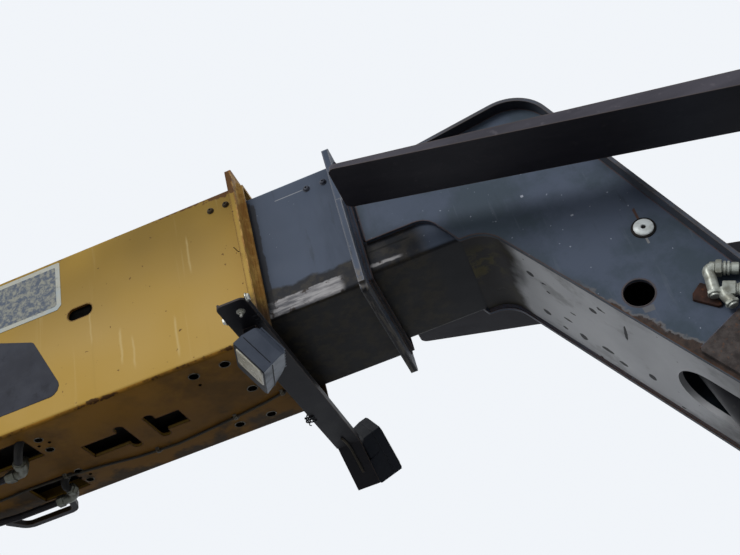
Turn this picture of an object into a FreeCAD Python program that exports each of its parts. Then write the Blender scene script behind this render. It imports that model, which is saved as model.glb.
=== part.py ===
import FreeCAD, Part
import math
import os

# Telescopic boom of a telehandler: three box sections, gooseneck head, tilting
# carriage and two fork tines folded back over their shaft. Millimetres.
# +X runs along the boom towards the head, +Z is up, +Y is the boom's left side.
# The origin is the centre of the boom's pivot bore.

V = FreeCAD.Vector
os.makedirs("parts", exist_ok=True)

# Outer section
outer_width = 328.0
outer_height = 400.0
outer_side_wall = 6.0
outer_deck_wall = 8.0
outer_rear = -180.0
outer_front = 4223.0
corner_radius = 9.0

# Middle section
mid_width = 302.0
mid_height = 325.0
mid_side_wall = 6.0
mid_deck_wall = 7.0
mid_rear = 350.0
mid_front = 4438.0

# Inner section
inner_width = 276.0
inner_top = 93.0
inner_bottom = -137.0
inner_side_wall = 6.0
inner_deck_wall = 7.0
inner_rear = 550.0
inner_front = 4650.0

slide_gap = 0.3
stroke = 3000.0

# Collars round the front ends
outer_collar_x = 4200.0
outer_collar_thick = 13.0
outer_collar_proud = 33.0
outer_collar_top = 22.0
outer_collar_drop = 190.0
mid_collar_x = 4413.0
mid_collar_thick = 15.0
mid_collar_proud = 30.0
mid_collar_top = 22.0
mid_collar_bottom = 35.0
shim_thick = 9.0
shim_top = 30.0

# Wear pads
pad_length = 96.0
pad_width = 90.0
pad_inset = 17.0
pad_setback = 10.0
pad_rear_setback = 14.0

# Rear end of the outer section
pivot_bore_radius = 35.0
pivot_tube_radius = 62.0
pivot_tube_length = 400.0
cheek_thick = 10.0
cheek_front = 520.0
lift_x = 1500.0
lift_drop = 75.0
lift_pin_radius = 30.0
lift_ear_thick = 25.0
lift_ear_gap = 120.0
slave_x = 620.0
slave_drop = 60.0
slave_pin_radius = 20.0
slave_ear_thick = 16.0
slave_ear_gap = 60.0

# Extension cylinder
extension_anchor_x = 150.0
extension_pin_radius = 22.0
extension_rod_radius = 28.0
extension_bore_radius = 50.0
extension_barrel_radius = 60.0
extension_barrel_length = 3330.0
bulkhead_thick = 20.0
bulkhead_setback = 6.0

# Lamp bar under the outer section's front end
lamp_bar_x0 = 4173.0
lamp_bar_x1 = 4231.0
lamp_bar_right = -322.0
lamp_bar_left = 334.0
lamp_bar_top = -206.0
lamp_bar_depth = 16.0
lamp_bar_wall = 4.0
lamp_bar_corner = 12.0
lamp_tab_length = 125.0
lamp_tab_drop = 33.0
spacer_y = 105.0
spacer_half = 25.0

# Work lamps: sizes, then the lens side's lower corner nearest the boom's right side
lamp_depth = 57.0
lamp_height = 78.0
lamp_width = 127.0
lamp_rim = 20.0
lamp_draw = 31.0
right_lamp_place = (4224.3, -268.1, -350.0)
right_lamp_turn = (8.7, -33.0, 16.8)
left_lamp_place = (4227.5, 342.0, -218.5)
left_lamp_turn = (11.4, -22.5, -36.0)

# Guard bar
guard_x = 3424.0
guard_length = 150.0
guard_reach = 44.0
guard_width = 15.0
guard_z = -196.0
guard_thick = 12.0

# Feed pipes and lamp cable along the underside, as (x, y) from the rear
pipe_radius = 8.0
pipe_drop = 16.0
pipe_bend = 60.0
pipe_sides = 12
near_pipe_plan = [(560, -112), (3340, -112), (3460, -42), (3572, -42)]
far_pipe_plan = [(560, 114), (3420, 114), (3480, 122), (3590, 122)]
cable_radius = 2.8
cable_drop = 3.0
cable_bend = 80.0
cable_sides = 8
cable_plan = [(560, 94), (3330, 94), (3450, 52), (3560, 50), (3640, 54), (3730, 68), (3800, 84), (3890, 92),
              (3960, 84), (4040, 74), (4110, 62), (4194, 40)]
clamp_places = (800.0, 1250.0, 1850.0, 2400.0, 2950.0)
clamp_half = 14.0
clamp_edge = 13.0

# Gooseneck head
head_rear = 4444.0
head_plate = 10.0
head_deck = 12.0
head_top_thick = 8.0
head_overhang = 25.0
head_top_start = 4600.0
hump_x = 4846.0
hump_z = 138.0
hump_radius = 92.0
neck_front_x = 5043.0
neck_front_z = -391.0
head_step_x = 4572.0
head_step_z = -66.0
throat_x = 4671.0
throat_z = -146.0
throat_radius = 70.0
neck_back_x = 4952.0
neck_back_z = -608.0
nose_x = 5178.0
nose_z = -874.0
nose_hub_radius = 92.0
nose_boss_radius = 70.0
nose_pin_radius = 35.0
floor_recess = 6.0
slot_half_width = 65.0
slot_start_z = -500.0
side_hole_x = 4875.0
side_hole_z = -396.0
side_hole_radius = 28.0
doubler_thick = 10.0
doubler_high_z = -470.0
doubler_low_z = -540.0
pin_clearance = 0.15

# Tilt cylinder
tilt_base_x = 4934.0
tilt_base_z = -274.0
tilt_base_pin_radius = 18.0
crank_length = 160.0
crank_angle = 226.0
tilt_barrel_radius = 50.0
tilt_bore_radius = 40.0
tilt_barrel_length = 425.0
tilt_rod_radius = 25.0
tilt_eye_radius = 42.0
tilt_eye_half = 27.0
lug_gap_half = 34.0
lug_thick = 20.0

# Carriage, in its own axes: u ahead of the nose pin, w above it
carriage_angle = 5.93
coupler_plate = 25.0
coupler_inside = 164.0
coupler_corner = (226.0, 178.0)
coupler_room = 7.0
hook_plate = 20.0
hook_inside = 195.0
carriage_half = 580.0
shaft_ahead = 354.0
shaft_above = 95.0
shaft_radius = 30.0
shaft_clearance = 0.2
upper_beam_depth = 60.0
upper_beam_height = 90.0
lower_beam_depth = 50.0
lower_beam_height = 90.0
lower_beam_drop = 330.0
stop_reach = 130.0

# Fork tines, folded back
blade_angle = -14.07
blade_length = 1200.0
tine_width = 120.0
tine_centre = 280.0
shank_thick = 45.0
load_face_drop = 430.0
tine_eye_radius = 52.0
tip_thick = 11.0
tip_corner = 14.0

nodes = {}


def box(x0, x1, y0, y1, z0, z1):
    return Part.makeBox(x1 - x0, y1 - y0, z1 - z0, V(x0, y0, z0))


def rod_between(a, b, radius):
    direction = b - a
    return Part.makeCylinder(radius, direction.Length, a, direction)


def rod_y(x, z, radius, y0, y1):
    return Part.makeCylinder(radius, y1 - y0, V(x, y0, z), V(0, 1, 0))


def rounded_wire(corners, place):
    # Corners are (u, v, radius); place turns (u, v) into a point in space.
    count = len(corners)
    starts, middles, ends = [], [], []
    for i, (u, v, r) in enumerate(corners):
        pu, pv = corners[i - 1][0], corners[i - 1][1]
        nu, nv = corners[(i + 1) % count][0], corners[(i + 1) % count][1]
        back = FreeCAD.Base.Vector2d(pu - u, pv - v)
        ahead = FreeCAD.Base.Vector2d(nu - u, nv - v)
        lb, la = math.hypot(back.x, back.y), math.hypot(ahead.x, ahead.y)
        bx, by = back.x / lb, back.y / lb
        ax, ay = ahead.x / la, ahead.y / la
        if r <= 0:
            starts.append((u, v))
            middles.append(None)
            ends.append((u, v))
            continue
        half = math.acos(max(-1.0, min(1.0, bx * ax + by * ay))) / 2
        reach = r / math.tan(half)
        mx, my = bx + ax, by + ay
        lm = math.hypot(mx, my)
        depth = r / math.sin(half) - r
        starts.append((u + bx * reach, v + by * reach))
        middles.append((u + mx / lm * depth, v + my / lm * depth))
        ends.append((u + ax * reach, v + ay * reach))
    edges = []
    for i in range(count):
        if middles[i]:
            edges.append(Part.Arc(place(*starts[i]), place(*middles[i]), place(*ends[i])).toShape())
        a, b = place(*ends[i]), place(*starts[(i + 1) % count])
        if (a - b).Length > 1e-6:
            edges.append(Part.LineSegment(a, b).toShape())
    return Part.Wire(edges)


def prism_x(corners, x0, x1):
    face = Part.Face(rounded_wire(corners, lambda u, v: V(x0, u, v)))
    return face.extrude(V(x1 - x0, 0, 0))


def prism_y(corners, y0, y1):
    face = Part.Face(rounded_wire(corners, lambda u, v: V(u, y0, v)))
    return face.extrude(V(0, y1 - y0, 0))


def prism_z(corners, z0, z1):
    face = Part.Face(rounded_wire(corners, lambda u, v: V(u, v, z0)))
    return face.extrude(V(0, 0, z1 - z0))


def pair_y(corners, inside, thick):
    return [prism_y(corners, inside, inside + thick), prism_y(corners, -inside - thick, -inside)]


def join(shapes):
    whole = shapes[0].multiFuse(shapes[1:])
    return whole.removeSplitter()


def rectangle(half_u, half_v, radius):
    return [(-half_u, -half_v, radius), (half_u, -half_v, radius),
            (half_u, half_v, radius), (-half_u, half_v, radius)]


def box_section(half, low, high, radius, x0, x1):
    corners = [(-half, low, radius), (half, low, radius), (half, high, radius), (-half, high, radius)]
    return prism_x(corners, x0, x1)


def box_tube(width, low, high, side_wall, deck_wall, x0, x1):
    outside = box_section(width / 2, low, high, corner_radius, x0, x1)
    inside = box_section(width / 2 - side_wall, low + deck_wall, high - deck_wall, 0, x0 - 1, x1 + 1)
    return outside.cut(inside)


def offset_path(corners, distance):
    # The same open path moved to its right by distance, corners kept mitred.
    moved = []
    for (u0, v0, r0), (u1, v1, r1) in zip(corners, corners[1:]):
        length = math.hypot(u1 - u0, v1 - v0)
        nu, nv = (v1 - v0) / length * distance, -(u1 - u0) / length * distance
        moved.append((u0 + nu, v0 + nv, u1 + nu, v1 + nv))
    result = [(moved[0][0], moved[0][1], 0)]
    for i in range(len(moved) - 1):
        x1, y1, x2, y2 = moved[i]
        x3, y3, x4, y4 = moved[i + 1]
        bottom = (x1 - x2) * (y3 - y4) - (y1 - y2) * (x3 - x4)
        a, b = x1 * y2 - y1 * x2, x3 * y4 - y3 * x4
        u = (a * (x3 - x4) - (x1 - x2) * b) / bottom
        v = (a * (y3 - y4) - (y1 - y2) * b) / bottom
        (pu, pv, _), (cu, cv, r), (nu, nv, _) = corners[i:i + 3]
        turn = (cu - pu) * (nv - cv) - (cv - pv) * (nu - cu)
        radius = r + (distance if turn > 0 else -distance) if r > 0 else 0
        result.append((u, v, radius))
    result.append((moved[-1][2], moved[-1][3], 0))
    return result


def band(corners, thick):
    # A plate's section: the path, and the same path one thickness to its right.
    return corners + offset_path(corners, thick)[::-1]


def on_line(point, direction, z):
    return point[0] + direction[0] * (z - point[1]) / direction[1]


def foot_on_line(point, direction, target):
    reach = (target[0] - point[0]) * direction[0] + (target[1] - point[1]) * direction[1]
    return point[0] + direction[0] * reach, point[1] + direction[1] * reach


def unit(angle):
    return math.cos(math.radians(angle)), math.sin(math.radians(angle))


# Outer section with its cut-outs
def outer_section():
    half = outer_height / 2
    tube = box_tube(outer_width, -half, half, outer_side_wall, outer_deck_wall, outer_rear, outer_front)
    cuts = [rod_y(0, 0, pivot_tube_radius, -outer_width, outer_width)]
    slot_length, slot_height = 58.0, 30.0
    slot_x, slot_z = outer_collar_x - 380.0, 30.0
    slot = [(slot_x + u, slot_z + v, slot_height / 2 - 0.5)
            for u, v, r in rectangle(slot_length / 2, slot_height / 2, 0)]
    cuts.append(prism_y(slot, -outer_width, outer_width))
    floor0, floor1 = -outer_height / 2 - 1, -outer_height / 2 + outer_deck_wall + 1
    # x from, x to, half width of the long cut; x of its rounded cross cut
    t_cuts = [(-473.0, -376.0, 28.0, -379.0), (-312.0, -248.0, 28.0, -311.0)]
    for x0, x1, half, cross in t_cuts:
        cuts.append(box(outer_collar_x + x0, outer_collar_x + x1, -half, half, floor0, floor1))
        cross_x = outer_collar_x + cross
        ear = [(cross_x + u, v, 10.5) for u, v, r in rectangle(11.0, 50.0, 0)]
        cuts.append(prism_z(ear, floor0, floor1))
    for side in (1, -1):
        window = [(outer_collar_x - 601.0 + u, side * 88.0 + v, 0) for u, v, r in rectangle(56.0, 39.0, 0)]
        cuts.append(prism_z(window, floor0, floor1))
    return tube.cut(Part.Compound(cuts))


def outer_collar():
    inside = outer_width / 2
    outside = inside + outer_collar_proud
    top = outer_height / 2 + outer_collar_top
    ring = [(-outside, -outer_collar_drop, 5), (-inside, -outer_collar_drop, 0),
            (-inside, outer_height / 2, 0), (inside, outer_height / 2, 0),
            (inside, -outer_collar_drop, 0), (outside, -outer_collar_drop, 5),
            (outside, top, 8), (-outside, top, 8)]
    plate = prism_x(ring, outer_collar_x, outer_collar_x + outer_collar_thick)
    body = prism_x(rectangle(outer_width / 2, outer_height / 2, corner_radius), outer_rear, outer_front)
    return plate.cut(body)


def mid_collar():
    outside = mid_width / 2 + mid_collar_proud
    top = mid_height / 2 + mid_collar_top
    bottom = -mid_height / 2 - mid_collar_bottom
    ring = [(-outside, bottom, 12), (outside, bottom, 12), (outside, top, 8), (-outside, top, 8)]
    plate = prism_x(ring, mid_collar_x, mid_collar_x + mid_collar_thick)
    body = prism_x(rectangle(mid_width / 2, mid_height / 2, corner_radius), mid_rear, mid_front)
    plate = plate.cut(body)
    shims = []
    for side in (1, -1):
        y0, y1 = sorted((side * outside, side * (outside + shim_thick)))
        shims.append(box(mid_collar_x + 1, mid_collar_x + mid_collar_thick - 1, y0, y1, bottom + 14, shim_top))
    return join([plate] + shims)


def wear_pads(room, x0, on_outside):
    # Two pads on each deck and two on each side of a section. The room is the section's
    # half width, bottom and top, then the same of the space around it. Pads on the
    # section's outside stop just short of that space, others just short of the section.
    pads = []
    half, low, high, space_half, space_low, space_high = room
    near, far = (0.0, slide_gap) if on_outside else (slide_gap, 0.0)
    decks = [(high + near, space_high - far, high - pad_width / 2 - pad_inset),
             (space_low + far, low - near, low + pad_width / 2 + pad_inset)]
    for side in (1, -1):
        y_mid = side * (half - pad_width / 2 - pad_inset)
        y0, y1 = sorted((side * (half + near), side * (space_half - far)))
        for z0, z1, z_mid in decks:
            pads.append(box(x0, x0 + pad_length, y_mid - pad_width / 2, y_mid + pad_width / 2, z0, z1))
            pads.append(box(x0, x0 + pad_length, y0, y1, z_mid - pad_width / 2, z_mid + pad_width / 2))
    return Part.Compound(pads)


mid_room = (mid_width / 2, -mid_height / 2, mid_height / 2, outer_width / 2 - outer_side_wall,
            outer_deck_wall - outer_height / 2, outer_height / 2 - outer_deck_wall)
inner_room = (inner_width / 2, inner_bottom, inner_top, mid_width / 2 - mid_side_wall,
              mid_deck_wall - mid_height / 2, mid_height / 2 - mid_deck_wall)


def pivot_tube():
    half = pivot_tube_length / 2
    tube = rod_y(0, 0, pivot_tube_radius, -half, half)
    return tube.cut(rod_y(0, 0, pivot_bore_radius, -half - 1, half + 1))


def rear_cheeks():
    half = outer_width / 2
    corners = [(outer_rear, -140, 0), (outer_rear + 60, -188, 0), (outer_rear + 200, -188, 0),
               (cheek_front, -110, 0), (cheek_front, 90, 0), (outer_rear + 200, 188, 0),
               (outer_rear + 60, 188, 0), (outer_rear, 140, 0)]
    hole = rod_y(0, 0, pivot_tube_radius, -half - 50, half + 50)
    return Part.Compound([plate.cut(hole) for plate in pair_y(corners, half, cheek_thick)])


def ear_pair(x, drop, pin_radius, gap, thick, foot):
    z = -outer_height / 2 - drop
    lobe = pin_radius + 32
    corners = [(x - foot, -outer_height / 2, 0), (x - lobe, z - lobe * 0.4, 0), (x - lobe * 0.4, z - lobe, 0),
               (x + lobe * 0.4, z - lobe, 0), (x + lobe, z - lobe * 0.4, 0), (x + foot, -outer_height / 2, 0)]
    hole = rod_y(x, z, pin_radius, -gap, gap)
    return Part.Compound([plate.cut(hole) for plate in pair_y(corners, gap / 2, thick)])


def extension_anchor():
    corners = [(pivot_tube_radius - 12, -45, 0), (extension_anchor_x + 20, -45, 0), (extension_anchor_x + 42, -20, 0),
               (extension_anchor_x + 42, 20, 0), (extension_anchor_x + 20, 45, 0), (pivot_tube_radius - 12, 45, 0)]
    ears = [plate.cut(rod_y(0, 0, pivot_tube_radius, -100, 100)) for plate in pair_y(corners, 36, 18)]
    pin = rod_y(extension_anchor_x, 0, extension_pin_radius, -60, 60)
    return join(ears + [pin])


def extension_rod():
    start = V(extension_anchor_x, 0, 0)
    end = V(mid_rear + stroke + 160, 0, 0)
    eye = rod_y(extension_anchor_x, 0, 42, -35, 35)
    rod = rod_between(start, end, extension_rod_radius)
    hole = rod_y(extension_anchor_x, 0, extension_pin_radius + pin_clearance, -60, 60)
    return join([eye, rod]).cut(hole)


def mid_bulkhead():
    x0 = mid_rear + bulkhead_setback
    half_y, half_z = mid_width / 2 - mid_side_wall, mid_height / 2 - mid_deck_wall
    plate = box(x0, x0 + bulkhead_thick, -half_y, half_y, -half_z, half_z)
    hole = rod_between(V(x0 - 1, 0, 0), V(x0 + bulkhead_thick + 1, 0, 0), extension_rod_radius + 4)
    return plate.cut(hole)


def extension_barrel():
    x0 = mid_rear + bulkhead_setback + bulkhead_thick
    x1 = x0 + extension_barrel_length
    flange = rod_between(V(x0, 0, 0), V(x0 + 25, 0, 0), extension_barrel_radius + 18)
    barrel = rod_between(V(x0, 0, 0), V(x1, 0, 0), extension_barrel_radius)
    bore = rod_between(V(x0 + 40, 0, 0), V(x1 - 20, 0, 0), extension_bore_radius)
    mouth = rod_between(V(x0 - 1, 0, 0), V(x0 + 41, 0, 0), extension_rod_radius + 1.5)
    return join([flange, barrel]).cut(Part.Compound([bore, mouth]))


# Bent bar on the outer section's far lower corner
def underside_guard():
    inside = outer_width / 2
    reach = inside + guard_reach
    path = [(guard_x, inside, 0), (guard_x + 22, reach, 18), (guard_x + guard_length - 14, reach, 14),
            (guard_x + guard_length, inside, 0)]
    bar = prism_z(band(path, -guard_width), guard_z, guard_z + guard_thick)
    return bar.cut(box(guard_x - 100, guard_x + guard_length + 100, 0, inside, guard_z - 1, guard_z + guard_thick + 1))


# Pipes and cable under the outer section
def bent_tube(points, radius, bend, sides):
    # A section of flat sides, along straight runs joined by arcs
    def section(place, direction, up):
        side = direction.cross(up)
        angles = [(2 * i + 1) * math.pi / sides for i in range(sides + 1)]
        ring = [place + (side * math.cos(a) + up * math.sin(a)) * radius for a in angles]
        return Part.Face(Part.makePolygon(ring))

    pieces = []
    last = points[0]
    for before, here, after in zip(points, points[1:], points[2:]):
        arriving, leaving = (here - before).normalize(), (after - here).normalize()
        up = arriving.cross(leaving).normalize()
        half = (math.pi - arriving.getAngle(leaving)) / 2
        reach = min(bend / math.tan(half), 0.45 * (here - before).Length, 0.45 * (after - here).Length)
        start = here - arriving * reach
        centre = here + (leaving - arriving).normalize() * (reach / math.cos(half))
        pieces.append(section(last, arriving, up).extrude(start - last))
        pieces.append(section(start, arriving, up).revolve(centre, up, math.degrees(math.pi - 2 * half)))
        last = here + leaving * reach
    pieces.append(section(last, leaving, up).extrude(points[-1] - last))
    return join(pieces)


def under_floor(plan, drop):
    return [V(x, y, -outer_height / 2 - drop) for x, y in plan]


def feed_pipes():
    # The far pipe's clamps hold the lamp cable too.
    pipes = []
    low = -outer_height / 2 - pipe_drop - pipe_radius - 3
    for plan, cable_y in ((near_pipe_plan, near_pipe_plan[0][1]), (far_pipe_plan, cable_plan[0][1])):
        y0 = min(plan[0][1], cable_y) - (clamp_edge if plan[0][1] < 0 else 6)
        y1 = plan[0][1] + clamp_edge
        clamps = [box(x - clamp_half, x + clamp_half, y0, y1, low, -outer_height / 2) for x in clamp_places]
        pipe = bent_tube(under_floor(plan, pipe_drop), pipe_radius, pipe_bend, pipe_sides)
        groove = box(plan[0][0], plan[1][0], cable_plan[0][1] - cable_radius, cable_plan[0][1] + cable_radius,
                     -outer_height / 2 - cable_drop - cable_radius, -outer_height / 2)
        pipes.append(join([pipe] + [clamp.cut(groove) for clamp in clamps]))
    return Part.Compound(pipes)


def lamp_cable():
    cable = bent_tube(under_floor(cable_plan, cable_drop), cable_radius, cable_bend, cable_sides)
    # The left lamp's lead, along the bar and its tab
    along, down = unit(-lamp_tab_drop)
    reach, middle = 80.0, (lamp_bar_x0 + lamp_bar_x1) / 2
    z = lamp_bar_top - lamp_bar_depth - cable_drop
    lead = bent_tube([V(middle - 2, lamp_bar_left - 44, z), V(middle + 1, lamp_bar_left - 1, z),
                      V(middle + 4, lamp_bar_left + reach * along + down * cable_drop,
                        z + cable_drop + reach * down - along * cable_drop)], cable_radius, cable_bend, cable_sides)
    return Part.Compound([cable, lead])


# Lamp bar and lamps
def lamp_bar():
    z0 = lamp_bar_top - lamp_bar_depth
    corner = lamp_bar_corner
    plan = [(lamp_bar_x0, lamp_bar_right, corner), (lamp_bar_x1, lamp_bar_right, corner),
            (lamp_bar_x1, lamp_bar_left, 0), (lamp_bar_x0, lamp_bar_left, 0)]
    parts = [prism_z(plan, z0, z0 + lamp_bar_wall)]
    for x in (lamp_bar_x0, lamp_bar_x1 - lamp_bar_wall):
        parts.append(box(x, x + lamp_bar_wall, lamp_bar_right + corner, lamp_bar_left, z0, lamp_bar_top))
    # The left end is bent down to a tab that carries the left lamp.
    along, down = unit(-lamp_tab_drop)
    path = [(lamp_bar_left - 10, z0, 0), (lamp_bar_left, z0, 0),
            (lamp_bar_left + lamp_tab_length * along, z0 + lamp_tab_length * down, 0)]
    parts.append(prism_x(band(path, -lamp_bar_wall), lamp_bar_x0 + 2, lamp_bar_x1))
    for side in (1, -1):
        y = side * spacer_y
        parts.append(box(lamp_bar_x0 + 8, lamp_bar_x1 - 20, y - spacer_half, y + spacer_half,
                         z0 + lamp_bar_wall, -outer_height / 2))
    return join(parts)


def lamp(place, turn, lens_ahead):
    # Depth along x, width along y, then turned. The back is drawn in behind the rim.
    plan = [(0, 0, 0), (0, lamp_width, 0), (lamp_rim, lamp_width - 8, 0),
            (lamp_depth - 15, lamp_width - lamp_draw, 0), (lamp_depth, lamp_width / 2, 0),
            (lamp_depth, 18, 0), (lamp_depth - 12, 2, 0), (lamp_rim, 0, 0)]
    side = [(0, 0, 0), (lamp_depth, 3, 8), (lamp_depth, lamp_height - 8, 12), (lamp_rim, lamp_height, 0),
            (0, lamp_height, 0)]
    if lens_ahead:
        plan = [(lamp_depth - u, v, r) for u, v, r in plan]
        side = [(lamp_depth - u, v, r) for u, v, r in side]
    body = prism_z(plan, -1, lamp_height + 1).common(prism_y(side, -1, lamp_width + 1))
    body.Placement = FreeCAD.Placement(V(*place), FreeCAD.Rotation(*turn))
    return body


def lamp_bracket_right(housing):
    # Block between the bar's web and the housing hung below it
    z1 = lamp_bar_top - lamp_bar_depth
    middle = (lamp_bar_x0 + lamp_bar_x1) / 2
    block = box(middle - 13, middle + 13, -235, -200, z1 - 45, z1)
    return block.cut(housing)


def lamp_bracket_left(housing, bar):
    # Block standing on the tab, behind the housing
    y0 = lamp_bar_left + 28
    block = box(lamp_bar_x1 - 32, lamp_bar_x1 - 8, y0, y0 + 40, lamp_bar_top - 50, lamp_bar_top)
    pieces = block.cut(housing).cut(bar).Solids
    return max(pieces, key=lambda piece: piece.Volume)


# Gooseneck head
neck_front = (neck_front_x, neck_front_z)
front_run = (neck_front_x - hump_x, neck_front_z - hump_z)
front_dir = tuple(c / math.hypot(*front_run) for c in front_run)
back_run = (neck_back_x - throat_x, neck_back_z - throat_z)
back_dir = tuple(c / math.hypot(*back_run) for c in back_run)
nose = (nose_x, nose_z)
front_foot = foot_on_line(neck_front, front_dir, nose)
back_foot = foot_on_line((neck_back_x, neck_back_z), back_dir, nose)
head_top_path = [(head_top_start, inner_top + head_top_thick, 0), (hump_x, hump_z, hump_radius),
                 (front_foot[0], front_foot[1], 0)]
head_under_top = offset_path(head_top_path, head_top_thick)


def head_side(inside):
    lower = [(back_foot[0], back_foot[1], 0), (throat_x, throat_z, throat_radius),
             (head_step_x + 46, throat_z, 8), (head_step_x, head_step_z, 45), (head_rear, head_step_z, 0)]
    upper = [(head_rear, inner_top - 8, 0), (head_top_start - 8, inner_top - 8, 0)]
    plate = prism_y(upper + head_under_top + lower, inside, inside + head_plate)
    hub = rod_y(nose_x, nose_z, nose_hub_radius, inside, inside + head_plate)
    plate = join([plate, hub])
    y0, y1 = inside - 1, inside + head_plate + 1
    holes = [rod_y(nose_x, nose_z, nose_boss_radius, y0, y1),
             rod_y(side_hole_x, side_hole_z, side_hole_radius, y0, y1),
             rod_y(tilt_base_x, tilt_base_z, tilt_base_pin_radius, y0, y1)]
    return plate.cut(Part.Compound(holes))


def head_top():
    half = inner_width / 2 + head_plate + head_overhang
    plate = prism_y(band(head_top_path, head_top_thick), -half, half)
    cuts = [box(inner_rear, inner_front, -half - 1, half + 1, inner_bottom, inner_top),
            rod_y(nose_x, nose_z, nose_hub_radius + 1, -half - 1, half + 1)]
    # The overhang ends where the coupler's plates swing past.
    swing = math.hypot(coupler_corner[0], coupler_corner[1]) + coupler_room
    narrow = coupler_inside - coupler_room
    for side in (1, -1):
        y0, y1 = sorted((side * narrow, side * (half + 1)))
        cuts.append(rod_y(nose_x, nose_z, swing, y0, y1))
    return plate.cut(Part.Compound(cuts))


def head_floor():
    half = inner_width / 2
    floor_z = throat_z + floor_recess
    shift = offset_path([(throat_x, throat_z, 0), (neck_back_x, neck_back_z, 0)], -floor_recess)
    start, end = shift[0], shift[1]
    direction = back_dir
    bend_x = on_line((start[0], start[1]), direction, floor_z)
    tail_z = nose_z + 40
    tail_x = on_line((start[0], start[1]), direction, tail_z)
    path = [(inner_front - 30, floor_z, 0), (bend_x, floor_z, throat_radius - floor_recess), (tail_x, tail_z, 0)]
    plate = prism_y(band(path, -head_deck), -half, half)
    tube = box(inner_rear, inner_front, -half, half, inner_bottom, inner_top)
    slot_x = on_line((start[0], start[1]), direction, slot_start_z)
    across = (-direction[1], direction[0])
    lead = slot_half_width
    reach, length = 60.0, 600.0  # of the slot's cutting block, past the plate
    middle = (slot_x + direction[0] * lead, slot_start_z + direction[1] * lead)
    far = (middle[0] + direction[0] * length, middle[1] + direction[1] * length)
    aside = (across[0] * reach, across[1] * reach)
    round_end = rod_between(V(middle[0] - aside[0], 0, middle[1] - aside[1]),
                            V(middle[0] + aside[0], 0, middle[1] + aside[1]), slot_half_width)
    run = [(middle[0] - aside[0], middle[1] - aside[1], 0), (far[0] - aside[0], far[1] - aside[1], 0),
           (far[0] + aside[0], far[1] + aside[1], 0), (middle[0] + aside[0], middle[1] + aside[1], 0)]
    channel = prism_y(run, -slot_half_width, slot_half_width)
    boss = rod_y(nose_x, nose_z, nose_boss_radius, -half - 1, half + 1)
    return plate.cut(tube).cut(join([round_end, channel])).cut(boss)


def nose_boss():
    half = inner_width / 2 + head_plate + doubler_thick
    boss = rod_y(nose_x, nose_z, nose_boss_radius, -half, half)
    return boss.cut(rod_y(nose_x, nose_z, nose_pin_radius + pin_clearance, -half - 1, half + 1))


def nose_doublers():
    inside = inner_width / 2 + head_plate
    edge = offset_path([(neck_front_x, neck_front_z, 0), (front_foot[0], front_foot[1], 0)], head_deck + 2)
    upper_x = on_line((edge[0][0], edge[0][1]), front_dir, doubler_high_z)
    lower_x = on_line((neck_back_x, neck_back_z), back_dir, doubler_low_z) + 8
    corners = [(lower_x, doubler_low_z, 6), (upper_x, doubler_high_z, 6), (edge[1][0], edge[1][1], 0),
               (back_foot[0] + 8, back_foot[1], 0)]
    hole = rod_y(nose_x, nose_z, nose_boss_radius, -inside - 50, inside + 50)
    plates = []
    for plate in pair_y(corners, inside, doubler_thick):
        y0 = plate.BoundBox.YMin
        hub = rod_y(nose_x, nose_z, nose_hub_radius - 6, y0, y0 + doubler_thick)
        plates.append(join([plate, hub]).cut(hole))
    return Part.Compound(plates)


def coupling_bracket():
    # Plate standing on the head's front face, for the auxiliary hoses
    u, w = neck_front_x, neck_front_z
    corners = [(u - 22, w + 40, 0), (u + 45, w + 23, 14), (u + 63, w - 29, 14), (u + 57, w - 75, 14), (u + 28, w - 87, 0)]
    plate = prism_y(corners, -136, -126)
    edge = [(hump_x, hump_z, 0), (u, w, 0), (front_foot[0], front_foot[1], 0), (throat_x, -800, 0)]
    return plate.cut(prism_y(edge, -200, 200))


def tilt_base_pin():
    half = inner_width / 2 + head_plate + 3
    return rod_y(tilt_base_x, tilt_base_z, tilt_base_pin_radius, -half, half)


# Tilt cylinder
crank = unit(crank_angle)
eye_x = nose_x + crank_length * crank[0]
eye_z = nose_z + crank_length * crank[1]
tilt_span = math.hypot(eye_x - tilt_base_x, eye_z - tilt_base_z)
tilt_dir = ((eye_x - tilt_base_x) / tilt_span, (eye_z - tilt_base_z) / tilt_span)


def along_tilt(reach):
    return V(tilt_base_x + tilt_dir[0] * reach, 0, tilt_base_z + tilt_dir[1] * reach)


def tilt_barrel():
    eye = rod_y(tilt_base_x, tilt_base_z, 40, -45, 45)
    body = rod_between(along_tilt(30), along_tilt(tilt_barrel_length), tilt_barrel_radius)
    bore = rod_between(along_tilt(75), along_tilt(tilt_barrel_length - 40), tilt_bore_radius)
    mouth = rod_between(along_tilt(tilt_barrel_length - 41), along_tilt(tilt_barrel_length + 1),
                        tilt_rod_radius + 1)
    hole = rod_y(tilt_base_x, tilt_base_z, tilt_base_pin_radius + pin_clearance, -60, 60)
    return join([eye, body]).cut(Part.Compound([bore, mouth, hole]))


def tilt_rod():
    rod = rod_between(along_tilt(tilt_span - 390), along_tilt(tilt_span - 10), tilt_rod_radius)
    eye = rod_y(eye_x, eye_z, tilt_eye_radius, -tilt_eye_half, tilt_eye_half)
    hole = rod_y(eye_x, eye_z, 20, -60, 60)
    return join([rod, eye]).cut(hole)


# Carriage
def on_carriage(shape):
    shape = shape.copy()
    shape.rotate(V(0, 0, 0), V(0, 1, 0), -carriage_angle)
    shape.translate(V(nose_x, 0, nose_z))
    return shape


local_crank = unit(crank_angle - carriage_angle)
crank_u = crank_length * local_crank[0]
crank_w = crank_length * local_crank[1]
hook_bar = (190.0, 150.0)
hook_bar_radius = 25.0
lock_pin_place = (188.0, -190.0)
lock_pin_radius = 20.0
coupler_tube = (128.0, 112.0)
coupler_tube_radius = 42.0
foot_box = (16.0, 96.0, -190.0, -120.0)


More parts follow.
